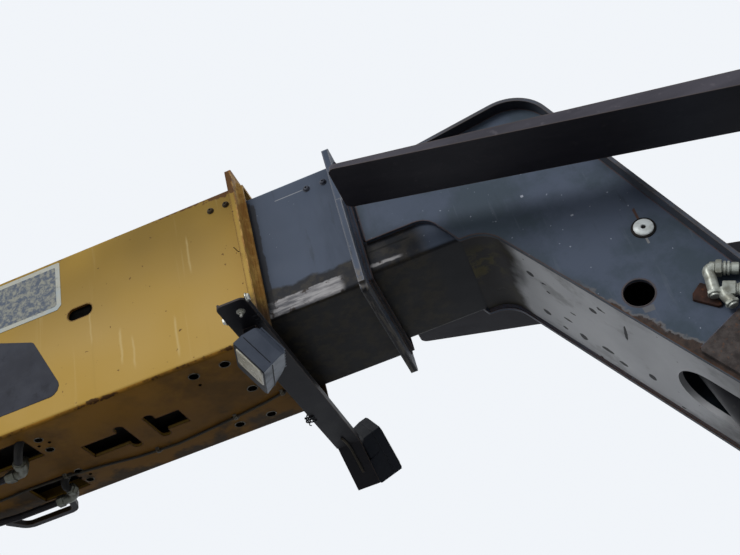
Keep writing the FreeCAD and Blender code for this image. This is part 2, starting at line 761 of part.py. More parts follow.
def coupler():
    corners = [(-78, -40, 0), (-10, -195, 0), (26, -225, 0), (coupler_corner[0], -225, 0),
               (coupler_corner[0], coupler_corner[1], 0), (110, coupler_corner[1], 0), (-40, 88, 0), (-78, 40, 0)]
    hole = rod_y(0, 0, nose_pin_radius, -300, 300)
    seat = join([rod_y(hook_bar[0], hook_bar[1], hook_bar_radius, -300, 300),
                 box(hook_bar[0] - hook_bar_radius, hook_bar[0] + hook_bar_radius, -300, 300,
                     hook_bar[1], hook_bar[1] + 100)])
    lock = rod_y(lock_pin_place[0], lock_pin_place[1], lock_pin_radius, -300, 300)
    plates = [p.cut(Part.Compound([hole, seat, lock])) for p in pair_y(corners, coupler_inside, coupler_plate)]
    tube = rod_y(coupler_tube[0], coupler_tube[1], coupler_tube_radius, -coupler_inside, coupler_inside)
    foot = box(foot_box[0], foot_box[1], -coupler_inside, coupler_inside, foot_box[2], foot_box[3])
    lug_corners = [(crank_u - 42, crank_w + 10, 30), (crank_u - 30, crank_w - 42, 30), (foot_box[0], foot_box[2], 0),
                   (foot_box[0] + 30, foot_box[2], 0), (foot_box[0] + 30, foot_box[3], 0),
                   (foot_box[0], foot_box[3], 0), (crank_u + 30, crank_w + 44, 0), (crank_u - 20, crank_w + 44, 20)]
    lugs = pair_y(lug_corners, lug_gap_half, lug_thick)
    return on_carriage(join(plates + [tube, foot] + lugs))


def crank_pins():
    pins = []
    for side in (1, -1):
        y0, y1 = sorted((side * (lug_gap_half + lug_thick), side * (lug_gap_half + lug_thick + 6)))
        pins.append(rod_y(crank_u, crank_w, 30, y0, y1))
    return on_carriage(Part.Compound(pins))


def nose_pin():
    half = coupler_inside + coupler_plate + 6
    return rod_y(nose_x, nose_z, nose_pin_radius, -half, half)


def fork_shaft():
    return on_carriage(rod_y(shaft_ahead, shaft_above, shaft_radius, -carriage_half - 15, carriage_half + 15))


def hook_shaft():
    half = hook_inside + hook_plate + 8
    return on_carriage(rod_y(hook_bar[0], hook_bar[1], hook_bar_radius, -half, half))


def lock_pin():
    half = hook_inside + hook_plate + 25
    return on_carriage(rod_y(lock_pin_place[0], lock_pin_place[1], lock_pin_radius, -half, half))


shank_dir = unit(90 + blade_angle - carriage_angle)
shank_left = (-shank_dir[1], shank_dir[0])


def beside_shank(reach, off):
    u = shaft_ahead + shank_dir[0] * reach + shank_left[0] * off
    w = shaft_above + shank_dir[1] * reach + shank_left[1] * off
    return (u, w)


def carriage_frame():
    beam_front = shaft_ahead - tine_eye_radius - 10
    beam_rear = beam_front - upper_beam_depth
    beam_low = shaft_above - upper_beam_height / 2
    beam_high = shaft_above + upper_beam_height / 2
    upper = box(beam_rear, beam_front, -carriage_half + 20, carriage_half - 20, beam_low, beam_high)
    foot_front = shaft_ahead - shank_thick / 2 - 0.5
    foot_rear = foot_front - lower_beam_depth
    foot_high = -lower_beam_drop + lower_beam_height
    lower = box(foot_rear, foot_front, -carriage_half + 20, carriage_half - 20, -lower_beam_drop, foot_high)
    eye = shaft_radius + 18
    side = [(beam_rear - 10, beam_high + 10, 0), (beam_rear - 10, beam_low, 0), (foot_rear - 20, foot_high, 0),
            (foot_rear - 20, -lower_beam_drop - 10, 0), (foot_front, -lower_beam_drop - 10, 0),
            (foot_front, shaft_above - 60, 0), (shaft_ahead + eye, shaft_above - 60, 40),
            (shaft_ahead + eye, beam_high + 10, 40)]
    hook = [(foot_front, -lower_beam_drop - 10, 0), (foot_front, shaft_above - 60, 0),
            (shaft_ahead + eye, shaft_above - 60, 40), (shaft_ahead + eye, shaft_above + 45, 40),
            (hook_bar[0] + 60, hook_bar[1] + 48, 0), (hook_bar[0] - 25, hook_bar[1] + 48, 0),
            (hook_bar[0] - 45, hook_bar[1] + 25, 0), (hook_bar[0] - 45, hook_bar[1] - 45, 0),
            (beam_rear - 14, 60, 0), (beam_rear - 14, lock_pin_place[1] + 90, 0),
            (lock_pin_place[0] - 36, lock_pin_place[1] + 40, 0), (lock_pin_place[0] - 36, lock_pin_place[1] - 50, 0),
            (foot_rear - 10, -lower_beam_drop - 10, 0)]
    plates = pair_y(side, carriage_half - 20, 20) + pair_y(hook, hook_inside, hook_plate)
    low, high = beside_shank(stop_reach - 25, shank_thick / 2 + 0.3), beside_shank(stop_reach + 25, shank_thick / 2 + 0.3)
    stop = [(beam_rear + 5, beam_high, 0), (beam_front, beam_high, 0), (beam_front + 52, beam_high + 38, 0),
            (low[0], low[1], 0), (high[0], high[1], 0), (high[0] - 34, high[1] + 6, 0), (beam_rear + 5, beam_high + 28, 0)]
    stops = [prism_y(stop, side_y * tine_centre - 12, side_y * tine_centre + 12) for side_y in (1, -1)]
    frame = join([upper, lower] + plates + stops)
    holes = [rod_y(shaft_ahead, shaft_above, shaft_radius, -700, 700),
             rod_y(hook_bar[0], hook_bar[1], hook_bar_radius, -300, 300),
             rod_y(lock_pin_place[0], lock_pin_place[1], lock_pin_radius, -300, 300)]
    return on_carriage(frame.cut(Part.Compound(holes)))


# Fork tines
shaft_x = nose_x + shaft_ahead * unit(carriage_angle)[0] - shaft_above * unit(carriage_angle)[1]
shaft_z = nose_z + shaft_ahead * unit(carriage_angle)[1] + shaft_above * unit(carriage_angle)[0]


def tine(centre):
    # Drawn as it works, blade ahead of the shaft, then swung over to the rear.
    face, back = shank_thick / 2, -shank_thick / 2
    top = -load_face_drop
    heel = top - shank_thick
    profile = [(back, 0, 0), (back, heel, 55), (face + 130, heel, 0), (face + blade_length, top - tip_thick, 0),
               (face + blade_length, top, 0), (face, top, 18), (face, 0, 0)]
    y0, y1 = centre - tine_width / 2, centre + tine_width / 2
    body = prism_y(profile, y0, y1)
    tip = face + blade_length
    plan = [(back, y0, 0), (tip, y0, tip_corner), (tip, y1, tip_corner), (back, y1, 0)]
    body = body.common(prism_z(plan, heel - 1, top + load_face_drop + 1))
    eye = rod_y(0, 0, tine_eye_radius, y0, y1)
    hole = rod_y(0, 0, shaft_radius + shaft_clearance, y0 - 1, y1 + 1)
    shape = join([body, eye]).cut(hole)
    shape.rotate(V(0, 0, 0), V(0, 1, 0), -(180 + blade_angle))
    shape.translate(V(shaft_x, 0, shaft_z))
    return shape


nodes["outer_section"] = outer_section()
nodes["outer_collar"] = outer_collar()
nodes["outer_front_pads"] = wear_pads(mid_room, outer_front - pad_setback - pad_length, False)
nodes["boom_pivot_tube"] = pivot_tube()
nodes["rear_cheeks"] = rear_cheeks()
nodes["lift_cylinder_ears"] = ear_pair(lift_x, lift_drop, lift_pin_radius, lift_ear_gap, lift_ear_thick, 150)
nodes["slave_cylinder_ears"] = ear_pair(slave_x, slave_drop, slave_pin_radius, slave_ear_gap, slave_ear_thick, 80)
nodes["extension_anchor"] = extension_anchor()
nodes["extension_rod"] = extension_rod()
nodes["lamp_bar"] = lamp_bar()
nodes["lamp_right"] = lamp(right_lamp_place, right_lamp_turn, False)
nodes["lamp_left"] = lamp(left_lamp_place, left_lamp_turn, True)
nodes["lamp_bracket_right"] = lamp_bracket_right(nodes["lamp_right"])
nodes["lamp_bracket_left"] = lamp_bracket_left(nodes["lamp_left"], nodes["lamp_bar"])
nodes["underside_guard"] = underside_guard()
nodes["feed_pipes"] = feed_pipes()
nodes["lamp_cable"] = lamp_cable()
nodes["mid_section"] = box_tube(mid_width, -mid_height / 2, mid_height / 2, mid_side_wall, mid_deck_wall,
                                mid_rear, mid_front)
nodes["mid_collar"] = mid_collar()
nodes["mid_front_pads"] = wear_pads(inner_room, mid_front - pad_setback - pad_length, False)
nodes["mid_rear_pads"] = wear_pads(mid_room, mid_rear + pad_rear_setback, True)
nodes["mid_bulkhead"] = mid_bulkhead()
nodes["extension_barrel"] = extension_barrel()
nodes["inner_section"] = box_tube(inner_width, inner_bottom, inner_top, inner_side_wall, inner_deck_wall,
                                  inner_rear, inner_front)
nodes["inner_rear_pads"] = wear_pads(inner_room, inner_rear + pad_rear_setback, True)
nodes["head_side_left"] = head_side(inner_width / 2)
nodes["head_side_right"] = head_side(-inner_width / 2 - head_plate)
nodes["head_top_plate"] = head_top()
nodes["head_floor_plate"] = head_floor()
nodes["nose_boss"] = nose_boss()
nodes["nose_doublers"] = nose_doublers()
nodes["coupling_bracket"] = coupling_bracket()
nodes["tilt_base_pin"] = tilt_base_pin()
nodes["tilt_barrel"] = tilt_barrel()
nodes["tilt_rod"] = tilt_rod()
nodes["nose_pin"] = nose_pin()
nodes["coupler"] = coupler()
nodes["crank_pin_caps"] = crank_pins()
nodes["hook_shaft"] = hook_shaft()
nodes["lock_pin"] = lock_pin()
nodes["carriage_frame"] = carriage_frame()
nodes["fork_shaft"] = fork_shaft()
nodes["tine_left"] = tine(tine_centre)
nodes["tine_right"] = tine(-tine_centre)

total = 0.0
for name, shape in nodes.items():
    total += shape.Volume
    print(name, "valid" if shape.isValid() else "NOT VALID", len(shape.Solids), "solids",
          round(shape.Volume * 7.85e-6, 1), "kg")
    shape.exportStep("parts/" + name + ".step")
print("steel mass", round(total * 7.85e-6, 1), "kg")
print("shaft", round(shaft_x, 1), round(shaft_z, 1), "eye", round(eye_x, 1), round(eye_z, 1))
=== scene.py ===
import math

import bmesh
import bpy
import numpy as np
from mathutils import Matrix, Vector


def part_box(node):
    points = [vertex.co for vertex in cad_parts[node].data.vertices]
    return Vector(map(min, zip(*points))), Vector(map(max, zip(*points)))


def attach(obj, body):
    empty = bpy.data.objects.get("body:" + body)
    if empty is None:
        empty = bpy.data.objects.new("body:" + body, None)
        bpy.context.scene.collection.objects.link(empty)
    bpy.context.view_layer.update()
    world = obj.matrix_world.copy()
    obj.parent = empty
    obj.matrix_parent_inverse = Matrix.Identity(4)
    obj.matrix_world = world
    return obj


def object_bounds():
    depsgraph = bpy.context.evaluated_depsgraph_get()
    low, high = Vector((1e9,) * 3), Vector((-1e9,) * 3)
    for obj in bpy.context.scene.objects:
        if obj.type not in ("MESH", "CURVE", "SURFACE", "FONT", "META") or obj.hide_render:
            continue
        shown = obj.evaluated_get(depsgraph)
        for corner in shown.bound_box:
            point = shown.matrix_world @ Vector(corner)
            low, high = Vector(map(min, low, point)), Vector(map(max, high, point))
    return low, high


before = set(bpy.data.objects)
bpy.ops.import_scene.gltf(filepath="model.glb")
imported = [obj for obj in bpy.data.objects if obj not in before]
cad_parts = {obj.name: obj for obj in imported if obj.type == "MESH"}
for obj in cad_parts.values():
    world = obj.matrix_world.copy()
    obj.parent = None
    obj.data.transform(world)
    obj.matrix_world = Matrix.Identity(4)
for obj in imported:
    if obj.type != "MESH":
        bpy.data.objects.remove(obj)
cadLow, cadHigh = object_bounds()

# Places that several pieces share, in metres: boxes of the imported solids, and the pins' x and z
outerLow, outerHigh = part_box("outer_section")
midLow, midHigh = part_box("mid_section")
innerLow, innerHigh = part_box("inner_section")
collarLow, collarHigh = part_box("outer_collar")
ringLow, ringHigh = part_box("mid_collar")
barLow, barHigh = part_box("lamp_bar")
shaftLow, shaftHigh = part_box("fork_shaft")
nosePin = (5.178, -0.874)
basePin = (4.934, -0.274)
print("stage 1: frame loaded")


# Mesh helpers
def gridMesh(points, closeColumns=True):
    # Each cell between neighbouring rows and columns of points becomes one face.
    rows, columns = points.shape[:2]
    r, c = np.meshgrid(np.arange(rows - 1), np.arange(columns if closeColumns else columns - 1), indexing="ij")
    beside = (c + 1) % columns
    corners = [r * columns + c, (r + 1) * columns + c, (r + 1) * columns + beside, r * columns + beside]
    return points.reshape(-1, 3), np.stack(corners, -1).reshape(-1, 4)


def across(axis):
    # Two directions square to the axis and to each other.
    axis = np.array(axis, float)
    axis = axis / np.linalg.norm(axis)
    side = np.cross(axis, [0, 0, 1]) if abs(axis[2]) < 0.9 else np.cross(axis, [1, 0, 0])
    side = side / np.linalg.norm(side)
    return axis, side, np.cross(axis, side)


def turned(place, axis, profile, sides=24, twist=0.0):
    # A profile of (height along the axis, radius) turned once round the axis.
    axis, side, other = across(axis)
    angle = np.linspace(0, 2 * math.pi, sides, endpoint=False) + twist
    ring = np.outer(np.cos(angle), side) + np.outer(np.sin(angle), other)
    return gridMesh(np.array([np.array(place) + axis * height + ring * radius for height, radius in profile]))


def smoothPath(points, step):
    # A curve through all the points: between two of them, the cubic that keeps
    # the direction from each point's neighbour before to its neighbour after.
    points = np.array(points, float)
    padded = np.vstack([2 * points[0] - points[1], points, 2 * points[-1] - points[-2]])
    result = [points[:1]]
    for i in range(len(points) - 1):
        p0, p1, p2, p3 = padded[i:i + 4]
        count = max(2, int(np.linalg.norm(p2 - p1) / step))
        t = np.linspace(0, 1, count + 1)[1:, None]
        result.append(0.5 * (2 * p1 + (p2 - p0) * t + (2 * p0 - 5 * p1 + 4 * p2 - p3) * t ** 2
                             + (3 * p1 - p0 - 3 * p2 + p3) * t ** 3))
    return np.vstack(result)


def straightPath(points, step):
    # Straight lines between the points, cut into equal steps.
    points = np.array(points, float)
    result = [points[:1]]
    for a, b in zip(points, points[1:]):
        count = max(1, int(np.linalg.norm(b - a) / step))
        t = np.linspace(0, 1, count + 1)[1:, None]
        result.append(a + (b - a) * t)
    return np.vstack(result)


def carried(path, radius, sides=10):
    # A circle carried along the path, square to it. The radius may differ from
    # point to point. Both ends close to a point.
    path = np.array(path, float)
    radius = np.broadcast_to(np.array(radius, float), (len(path),))
    ahead = np.gradient(path, axis=0)
    ahead /= np.linalg.norm(ahead, axis=1)[:, None]
    side = across(ahead[0])[1]
    angle = np.linspace(0, 2 * math.pi, sides, endpoint=False)
    rows = [np.repeat(path[:1], sides, axis=0)]
    for point, direction, size in zip(path, ahead, radius):
        side = side - direction * np.dot(side, direction)
        side /= np.linalg.norm(side)
        other = np.cross(direction, side)
        rows.append(point + (np.outer(np.cos(angle), side) + np.outer(np.sin(angle), other)) * size)
    rows.append(np.repeat(path[-1:], sides, axis=0))
    return gridMesh(np.array(rows))


def rounded(outline, radius, steps=5):
    # The outline with each corner replaced by an arc of that radius.
    outline = np.array(outline, float)
    result = []
    for i, here in enumerate(outline):
        back, ahead = outline[i - 1] - here, outline[(i + 1) % len(outline)] - here
        lengthBack, lengthAhead = np.linalg.norm(back), np.linalg.norm(ahead)
        back, ahead = back / lengthBack, ahead / lengthAhead
        half = math.acos(np.clip(np.dot(back, ahead), -0.9999, 0.9999)) / 2
        reach = min(radius / math.tan(half), 0.45 * lengthBack, 0.45 * lengthAhead)
        size = reach * math.tan(half)
        middle = back + ahead
        centre = here + middle / np.linalg.norm(middle) * size / math.sin(half)
        start, end = here + back * reach - centre, here + ahead * reach - centre
        t = np.linspace(0, 1, steps + 1)[:, None]
        spoke = start * (1 - t) + end * t
        result.append(centre + spoke / np.linalg.norm(spoke, axis=1)[:, None] * size)
    return np.vstack(result)


def slab(outline, base, uAxis, vAxis, thick, edge=0.0):
    # A plate: the outline laid out on two axes, and again one thickness above,
    # where it draws in by the edge width to make a chamfer.
    outline = np.array(outline, float)
    u, v = np.array(uAxis, float), np.array(vAxis, float)
    up = np.cross(u, v)
    centre = outline.mean(0)
    shrink = 1 - edge / max(1e-6, np.abs(outline - centre).max())
    rows = []
    for height, size in ((0.0, 0.0), (0.0, 1.0), (thick - edge, 1.0), (thick, shrink), (thick, 0.0)):
        flat = centre + (outline - centre) * size
        rows.append(np.array(base) + np.outer(flat[:, 0], u) + np.outer(flat[:, 1], v) + up * height)
    return gridMesh(np.array(rows))


def hexHead(place, axis, size, washer=True):
    # Washer, six-sided head and its domed top.
    parts, base = [], 0.0
    if washer:
        parts.append(turned(place, axis, [(0, 0), (0, size * 1.35), (size * 0.22, size * 1.35),
                                          (size * 0.25, size * 1.25), (size * 0.25, 0)]))
        base = size * 0.24
    parts.append(turned(place, axis, [(base, 0), (base, size), (base + size * 0.62, size),
                                      (base + size * 0.75, size * 0.86), (base + size * 0.75, 0)], 6, 0.3))
    return parts


def weldBead(path, size, ripple=0.004):
    # A round bead along straight lines, whose size swells once every ripple length.
    path = straightPath(path, ripple / 3)
    reach = np.arange(len(path)) * ripple / 3
    radius = size * (1 + 0.16 * np.abs(np.sin(reach * math.pi / ripple)) + 0.07 * np.sin(reach * 61))
    return carried(path, radius, 8)


def fitting(place, axis, steps):
    # Sections along one axis: (length, radius, sides), six sides for a nut. A
    # section without a radius is a gap.
    parts, reach = [], 0.0
    unit = np.array(axis, float) / np.linalg.norm(axis)
    for length, radius, sides in steps:
        if radius > 0:
            edge = min(length * 0.15, radius * 0.12)
            profile = [(0, 0), (0, radius - edge), (edge, radius), (length - edge, radius),
                       (length, radius - edge), (length, 0)]
            parts.append(turned(np.array(place) + unit * reach, unit, profile, sides))
        reach += length
    return parts


def addPiece(name, parts, material, body):
    # Joins the parts into one mesh that rides on a body.
    verts, faces, count = [], [], 0
    for points, cells in parts:
        verts.append(points)
        faces.append(cells + count)
        count += len(points)
    mesh = bpy.data.meshes.new(name)
    mesh.from_pydata(np.vstack(verts).tolist(), [], np.vstack(faces).tolist())
    work = bmesh.new()
    work.from_mesh(mesh)
    bmesh.ops.remove_doubles(work, verts=work.verts, dist=1e-6)
    bmesh.ops.dissolve_degenerate(work, edges=work.edges, dist=1e-7)
    bmesh.ops.recalc_face_normals(work, faces=work.faces)
    work.to_mesh(mesh)
    work.free()
    piece = bpy.data.objects.new(name, mesh)
    bpy.context.collection.objects.link(piece)
    mesh.materials.append(material)
    mesh.shade_smooth()
    mesh.set_sharp_from_angle(angle=math.radians(35))
    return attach(piece, body)


# Shader helpers: each adds nodes to one material and hands back a socket
class Shader:
    def __init__(self, name, roughness, metallic=0.0, specular=0.08):
        self.material = bpy.data.materials.new(name)
        self.material.use_nodes = True
        self.tree = self.material.node_tree
        self.bsdf = self.tree.nodes["Principled BSDF"]
        self.bsdf.inputs["Roughness"].default_value = roughness
        self.bsdf.inputs["Metallic"].default_value = metallic
        self.bsdf.inputs["Specular IOR Level"].default_value = specular
        coordinates = self.tree.nodes.new("ShaderNodeTexCoord")
        self.place = coordinates.outputs["Object"]
        self.x, self.y, self.z = self.parts(self.place)
        self.up = self.parts(coordinates.outputs["Normal"])[2]
        self.colour = self.bump = None

    def put(self, socket, value):
        if isinstance(value, bpy.types.NodeSocket):
            self.tree.links.new(value, socket)
        elif isinstance(value, tuple) and len(value) == 3 and socket.type == "RGBA":
            socket.default_value = (*value, 1)
        else:
            socket.default_value = value

    def parts(self, vector):
        node = self.tree.nodes.new("ShaderNodeSeparateXYZ")
        self.put(node.inputs[0], vector)
        return node.outputs[0], node.outputs[1], node.outputs[2]

    def math(self, operation, a, b=0.0):
        node = self.tree.nodes.new("ShaderNodeMath")
        node.operation = operation
        self.put(node.inputs[0], a)
        self.put(node.inputs[1], b)
        return node.outputs[0]

    def plus(self, a, b):
        return self.math("ADD", a, b)

    def less(self, a, b):
        return self.math("SUBTRACT", a, b)

    def size(self, a):
        return self.math("ABSOLUTE", a)

    def times(self, *values):
        result = values[0]
        for value in values[1:]:
            result = self.math("MULTIPLY", result, value)
        return result

    def stretch(self, scale, shift=(0.0, 0.0, 0.0)):
        node = self.tree.nodes.new("ShaderNodeMapping")
        self.put(node.inputs["Vector"], self.place)
        node.inputs["Scale"].default_value = scale
        node.inputs["Location"].default_value = shift
        return node.outputs[0]

    def noise(self, scale, detail=4.0, roughness=0.55, vector=None):
        node = self.tree.nodes.new("ShaderNodeTexNoise")
        self.put(node.inputs["Vector"], vector or self.place)
        node.inputs["Scale"].default_value = scale
        node.inputs["Detail"].default_value = detail
        node.inputs["Roughness"].default_value = roughness
        return node.outputs["Fac"]

    def streaks(self, scale, detail, roughness, shift=(0.0, 0.0, 0.0)):
        # Noise drawn out: the scale differs along x, y and z.
        return self.noise(1.0, detail, roughness, self.stretch(scale, shift))

    def wobble(self, reach, scale, detail=4.0, roughness=0.55):
        # Noise about zero, from minus half the reach to half of it.
        return self.times(self.less(self.noise(scale, detail, roughness), 0.5), reach)

    def varied(self, base, share, scale, detail=4.0):
        return self.plus(base, self.times(self.noise(scale, detail), share))

    def rise(self, value, low, high):
        # 0 below low, 1 above high, smooth between. High may be the lower one.
        node = self.tree.nodes.new("ShaderNodeMapRange")
        node.interpolation_type = "SMOOTHSTEP"
        self.put(node.inputs["Value"], value)
        node.inputs["From Min"].default_value = min(low, high)
        node.inputs["From Max"].default_value = max(low, high)
        if low >= high:
            node.inputs["To Min"].default_value = 1.0
            node.inputs["To Max"].default_value = 0.0
        return node.outputs[0]

    def within(self, value, low, high, soft):
        return self.times(self.rise(value, low - soft, low + soft), self.rise(value, high + soft, high - soft))

    def blend(self, share, a, b):
        node = self.tree.nodes.new("ShaderNodeMix")
        node.data_type = "RGBA"
        self.put(node.inputs[0], share)
        self.put(node.inputs[6], a)
        self.put(node.inputs[7], b)
        return node.outputs[2]

    def clouds(self, a, b, low, high, scale, detail=4.0, roughness=0.55):
        # One tone going over to another with the noise.
        return self.blend(self.rise(self.noise(scale, detail, roughness), low, high), a, b)

    def cover(self, tone, *shares):
        # Lays a tone over the colour so far, as strong as all the shares together.
        self.colour = self.blend(self.times(*shares), self.colour, tone)

    def hollow(self, mask, depth):
        self.bump = self.less(self.bump, self.times(mask, depth))

    def edges(self, radius):
        # How far the surface turns within the radius: 0 on flats, more at edges.
        bevel = self.tree.nodes.new("ShaderNodeBevel")
        bevel.samples = 4
        bevel.inputs["Radius"].default_value = radius
        geometry = self.tree.nodes.new("ShaderNodeNewGeometry")
        dot = self.tree.nodes.new("ShaderNodeVectorMath")
        dot.operation = "DOT_PRODUCT"
        self.put(dot.inputs[0], bevel.outputs[0])
        self.put(dot.inputs[1], geometry.outputs["Normal"])
        return self.rise(dot.outputs["Value"], 0.995, 0.80)

    def chips(self, radius, share, scale, low, high):
        # Paint chipped off near edges, ragged by noise.
        worn = self.plus(self.times(self.edges(radius), share), self.times(self.noise(scale, 5, 0.65), 0.6))
        return self.rise(worn, low, high)

    def finish(self, roughness=None):
        self.put(self.bsdf.inputs["Base Color"], self.colour)
        if roughness is not None:
            self.put(self.bsdf.inputs["Roughness"], roughness)
        if self.bump is not None:
            node = self.tree.nodes.new("ShaderNodeBump")
            node.inputs["Distance"].default_value = 0.001
            node.inputs["Strength"].default_value = 0.6
            self.put(node.inputs["Height"], self.bump)
            self.tree.links.new(node.outputs[0], self.bsdf.inputs["Normal"])
        return self.material


# Yellow paint of the outer section
yellowLook = {
    # The side's tones include painted light low down and painted shade high up
    "ochre": (0.40, 0.245, 0.042), "deep": (0.20, 0.125, 0.024), "paintedLightLow": (0.46, 0.305, 0.098),
    "dirty": (0.10, 0.052, 0.015), "grease": (0.022, 0.018, 0.016), "rust": (0.075, 0.028, 0.012),
    "pale": (0.62, 0.50, 0.26), "soil": (0.045, 0.022, 0.014), "nearDirt": (0.42, 0.200, 0.030),
    "farDirt": (0.24, 0.115, 0.022), "lip": (0.56, 0.34, 0.10), "lipRust": (0.30, 0.13, 0.035),
    "halfWide": 0.164, "halfHigh": 0.200,
    # Along x: where the top's rust widens, where the collar's lip and its soot begin
    "rustWidens": (3.90, 4.17), "lipFrom": (4.2095, 4.2125), "sootFrom": (4.19, 4.204),
    # Single runs beside the collar: x, high end, low end, half width
    "runs": [(3.907, -0.056, -0.135, 0.0022), (4.029, -0.079, -0.170, 0.0020), (3.9335, -0.086, -0.156, 0.0015),
             (3.842, 0.030, -0.060, 0.0012), (4.078, 0.110, 0.020, 0.0014)],
}


def yellowPaint():
    s = Shader("yellow_paint", 0.55, specular=0.04)
    look = yellowLook
    # Painted light and shade: the side is paler towards the bottom and darker towards the top, as the sky lights it
    s.colour = s.blend(s.rise(s.z, -0.16, 0.20), look["paintedLightLow"], look["deep"])
    s.cover(look["ochre"], s.rise(s.noise(1.6, 3), 0.35, 0.7))
    # Runs of dried dirty water, thin lines down the side
    s.cover(look["pale"], s.rise(s.streaks((55, 3, 2.2), 3, 0.5), 0.62, 0.76), 0.20)
    s.cover(look["deep"], s.rise(s.streaks((22, 3, 1.1), 4, 0.6, (3, 1, 5)), 0.6, 0.8), 0.3)
    wandering = s.plus(s.x, s.wobble(0.006, 30, 2))
    for x, high, low, width in look["runs"]:
        line = s.within(wandering, x - width, x + width, 0.0025)
        s.cover(look["pale"], line, s.within(s.z, low, high, 0.012), 0.36)
    # Small rust specks
    s.cover(look["rust"], s.rise(s.noise(95, 2, 0.5), 0.735, 0.77), 0.8)
    # The underside is brown with road dirt, with grease towards its far edge
    patches = s.noise(7, 5, 0.6)
    farther = s.rise(s.plus(s.y, s.times(patches, 0.12)), -0.10, 0.07)
    dirt = s.blend(farther, look["nearDirt"], look["farDirt"])
    dirt = s.blend(s.times(s.rise(patches, 0.42, 0.68), 0.75), dirt, look["dirty"])
    greasy = s.rise(s.plus(s.times(s.y, 1.5), patches), 0.64, 0.76)
    dirt = s.blend(s.times(greasy, 0.85), dirt, look["grease"])
    s.cover(dirt, s.rise(s.up, -0.40, -0.50), 0.96)
    # Black dirt and chips along the lower corners, rust along the upper ones
    inward = s.less(look["halfWide"], s.size(s.y))
    low = s.plus(s.plus(s.z, look["halfHigh"]), inward)
    high = s.plus(s.less(look["halfHigh"], s.z), inward)
    flakes = s.less(s.noise(34, 6, 0.7), 0.5)
    line = s.rise(s.plus(low, s.times(flakes, 0.012)), 0.0062, 0.0042)
    flaked = s.rise(s.plus(low, s.times(flakes, 0.034)), 0.0050, 0.0030)
    s.cover(look["soil"], s.math("MAXIMUM", line, flaked), 0.9)
    wider = s.times(s.rise(s.x, *look["rustWidens"]), 0.010)
    s.cover(look["rust"], s.rise(s.less(s.plus(high, s.times(flakes, 0.05)), wider), 0.004, 0.001), 0.85)
    # The collar's front lip, orange with rust, and soot at its foot
    lip = s.rise(s.plus(s.x, s.times(flakes, 0.02)), *look["lipFrom"])
    s.cover(s.clouds(look["lip"], look["lipRust"], 0.42, 0.60, 26, 5, 0.65), lip, 0.7)
    foot = s.rise(s.plus(s.z, s.times(flakes, 0.08)), -0.10, -0.16)
    s.cover(look["grease"], s.rise(s.x, *look["sootFrom"]), foot, 0.85)
    chipped = s.times(s.chips(0.007, 0.55, 42, 0.50, 0.60), s.less(1.0, s.times(lip, 0.8)))
    s.cover(look["rust"], chipped)
    s.bump = s.times(s.noise(260, 2), 0.12)
    s.hollow(chipped, 0.5)
    return s.finish(s.varied(0.34, 0.25, 12))


# Grey paint of the middle and inner sections, the head and the carriage
greyLook = {
    "slate": (0.047, 0.062, 0.092), "pale": (0.074, 0.092, 0.130), "dark": (0.024, 0.032, 0.042),
    "stain": (0.022, 0.026, 0.022), "grease": (0.010, 0.010, 0.012), "olive": (0.050, 0.044, 0.026),
    "rust": (0.085, 0.038, 0.018), "bare": (0.36, 0.35, 0.35), "speck": (0.35, 0.38, 0.45),
    "cloud": (0.026, 0.042, 0.046), "thinRun": (0.12, 0.14, 0.16), "soil": (0.012, 0.011, 0.011),
    "soilBrown": (0.034, 0.028, 0.019), "scratch": (0.10, 0.10, 0.11), "scraping": (0.045, 0.035, 0.03),
    "flaked": (0.13, 0.125, 0.125), "flakedRust": (0.052, 0.034, 0.026), "flakedDark": (0.024, 0.018, 0.016),
    "scuff": (0.17, 0.15, 0.125),
    # The neck's lower edge: a point on it, and its direction
    "neckStart": (4.671, -0.146), "neck": (0.52, -0.854),
}


def padStrips(s, strips):
    # Where pads run: brown and black grime up to a wavy line, and in it a strip scraped
    # bare. Each is (x from, x to, z low, z high, grime's top).
    look = greyLook
    for x0, x1, z0, z1, top in strips:
        ragged = s.plus(s.z, s.wobble(0.030, 22))
        soil = s.clouds(look["soil"], look["soilBrown"], 0.42, 0.60, 30, 5, 0.65)
        s.cover(soil, s.within(s.x, x0, x1 + 0.05, 0.02), s.within(ragged, z0 - 0.03, top, 0.004), 0.88)
        fine = s.plus(s.z, s.wobble(0.010, 60))
        scraped = s.times(s.within(s.x, x0, x1, 0.008), s.within(fine, z0, z1, 0.0018),
                          s.rise(s.up, -0.85, -0.55))
        metal = s.blend(s.rise(s.streaks((13, 60, 90), 5, 0.7, (2, 2, 2)), 0.36, 0.62), look["scratch"], look["bare"])
        metal = s.blend(s.rise(s.noise(38, 5, 0.6), 0.56, 0.64), metal, look["scraping"])
        s.cover(metal, scraped, 0.95)
        s.hollow(scraped, 0.3)


def sideMarks(s, marks):
    # Ragged marks on the side, stains, scrapes and painted shadow alike: (x, z, half length, half height, colour).
    for x, z, length, height, tone in marks:
        u = s.size(s.times(s.less(s.x, x), 1 / length))
        v = s.size(s.times(s.less(s.z, z), 1 / height))
        s.cover(tone, s.rise(s.plus(s.math("MAXIMUM", u, v), s.wobble(0.9, 45)), 1.0, 0.8), 0.85)


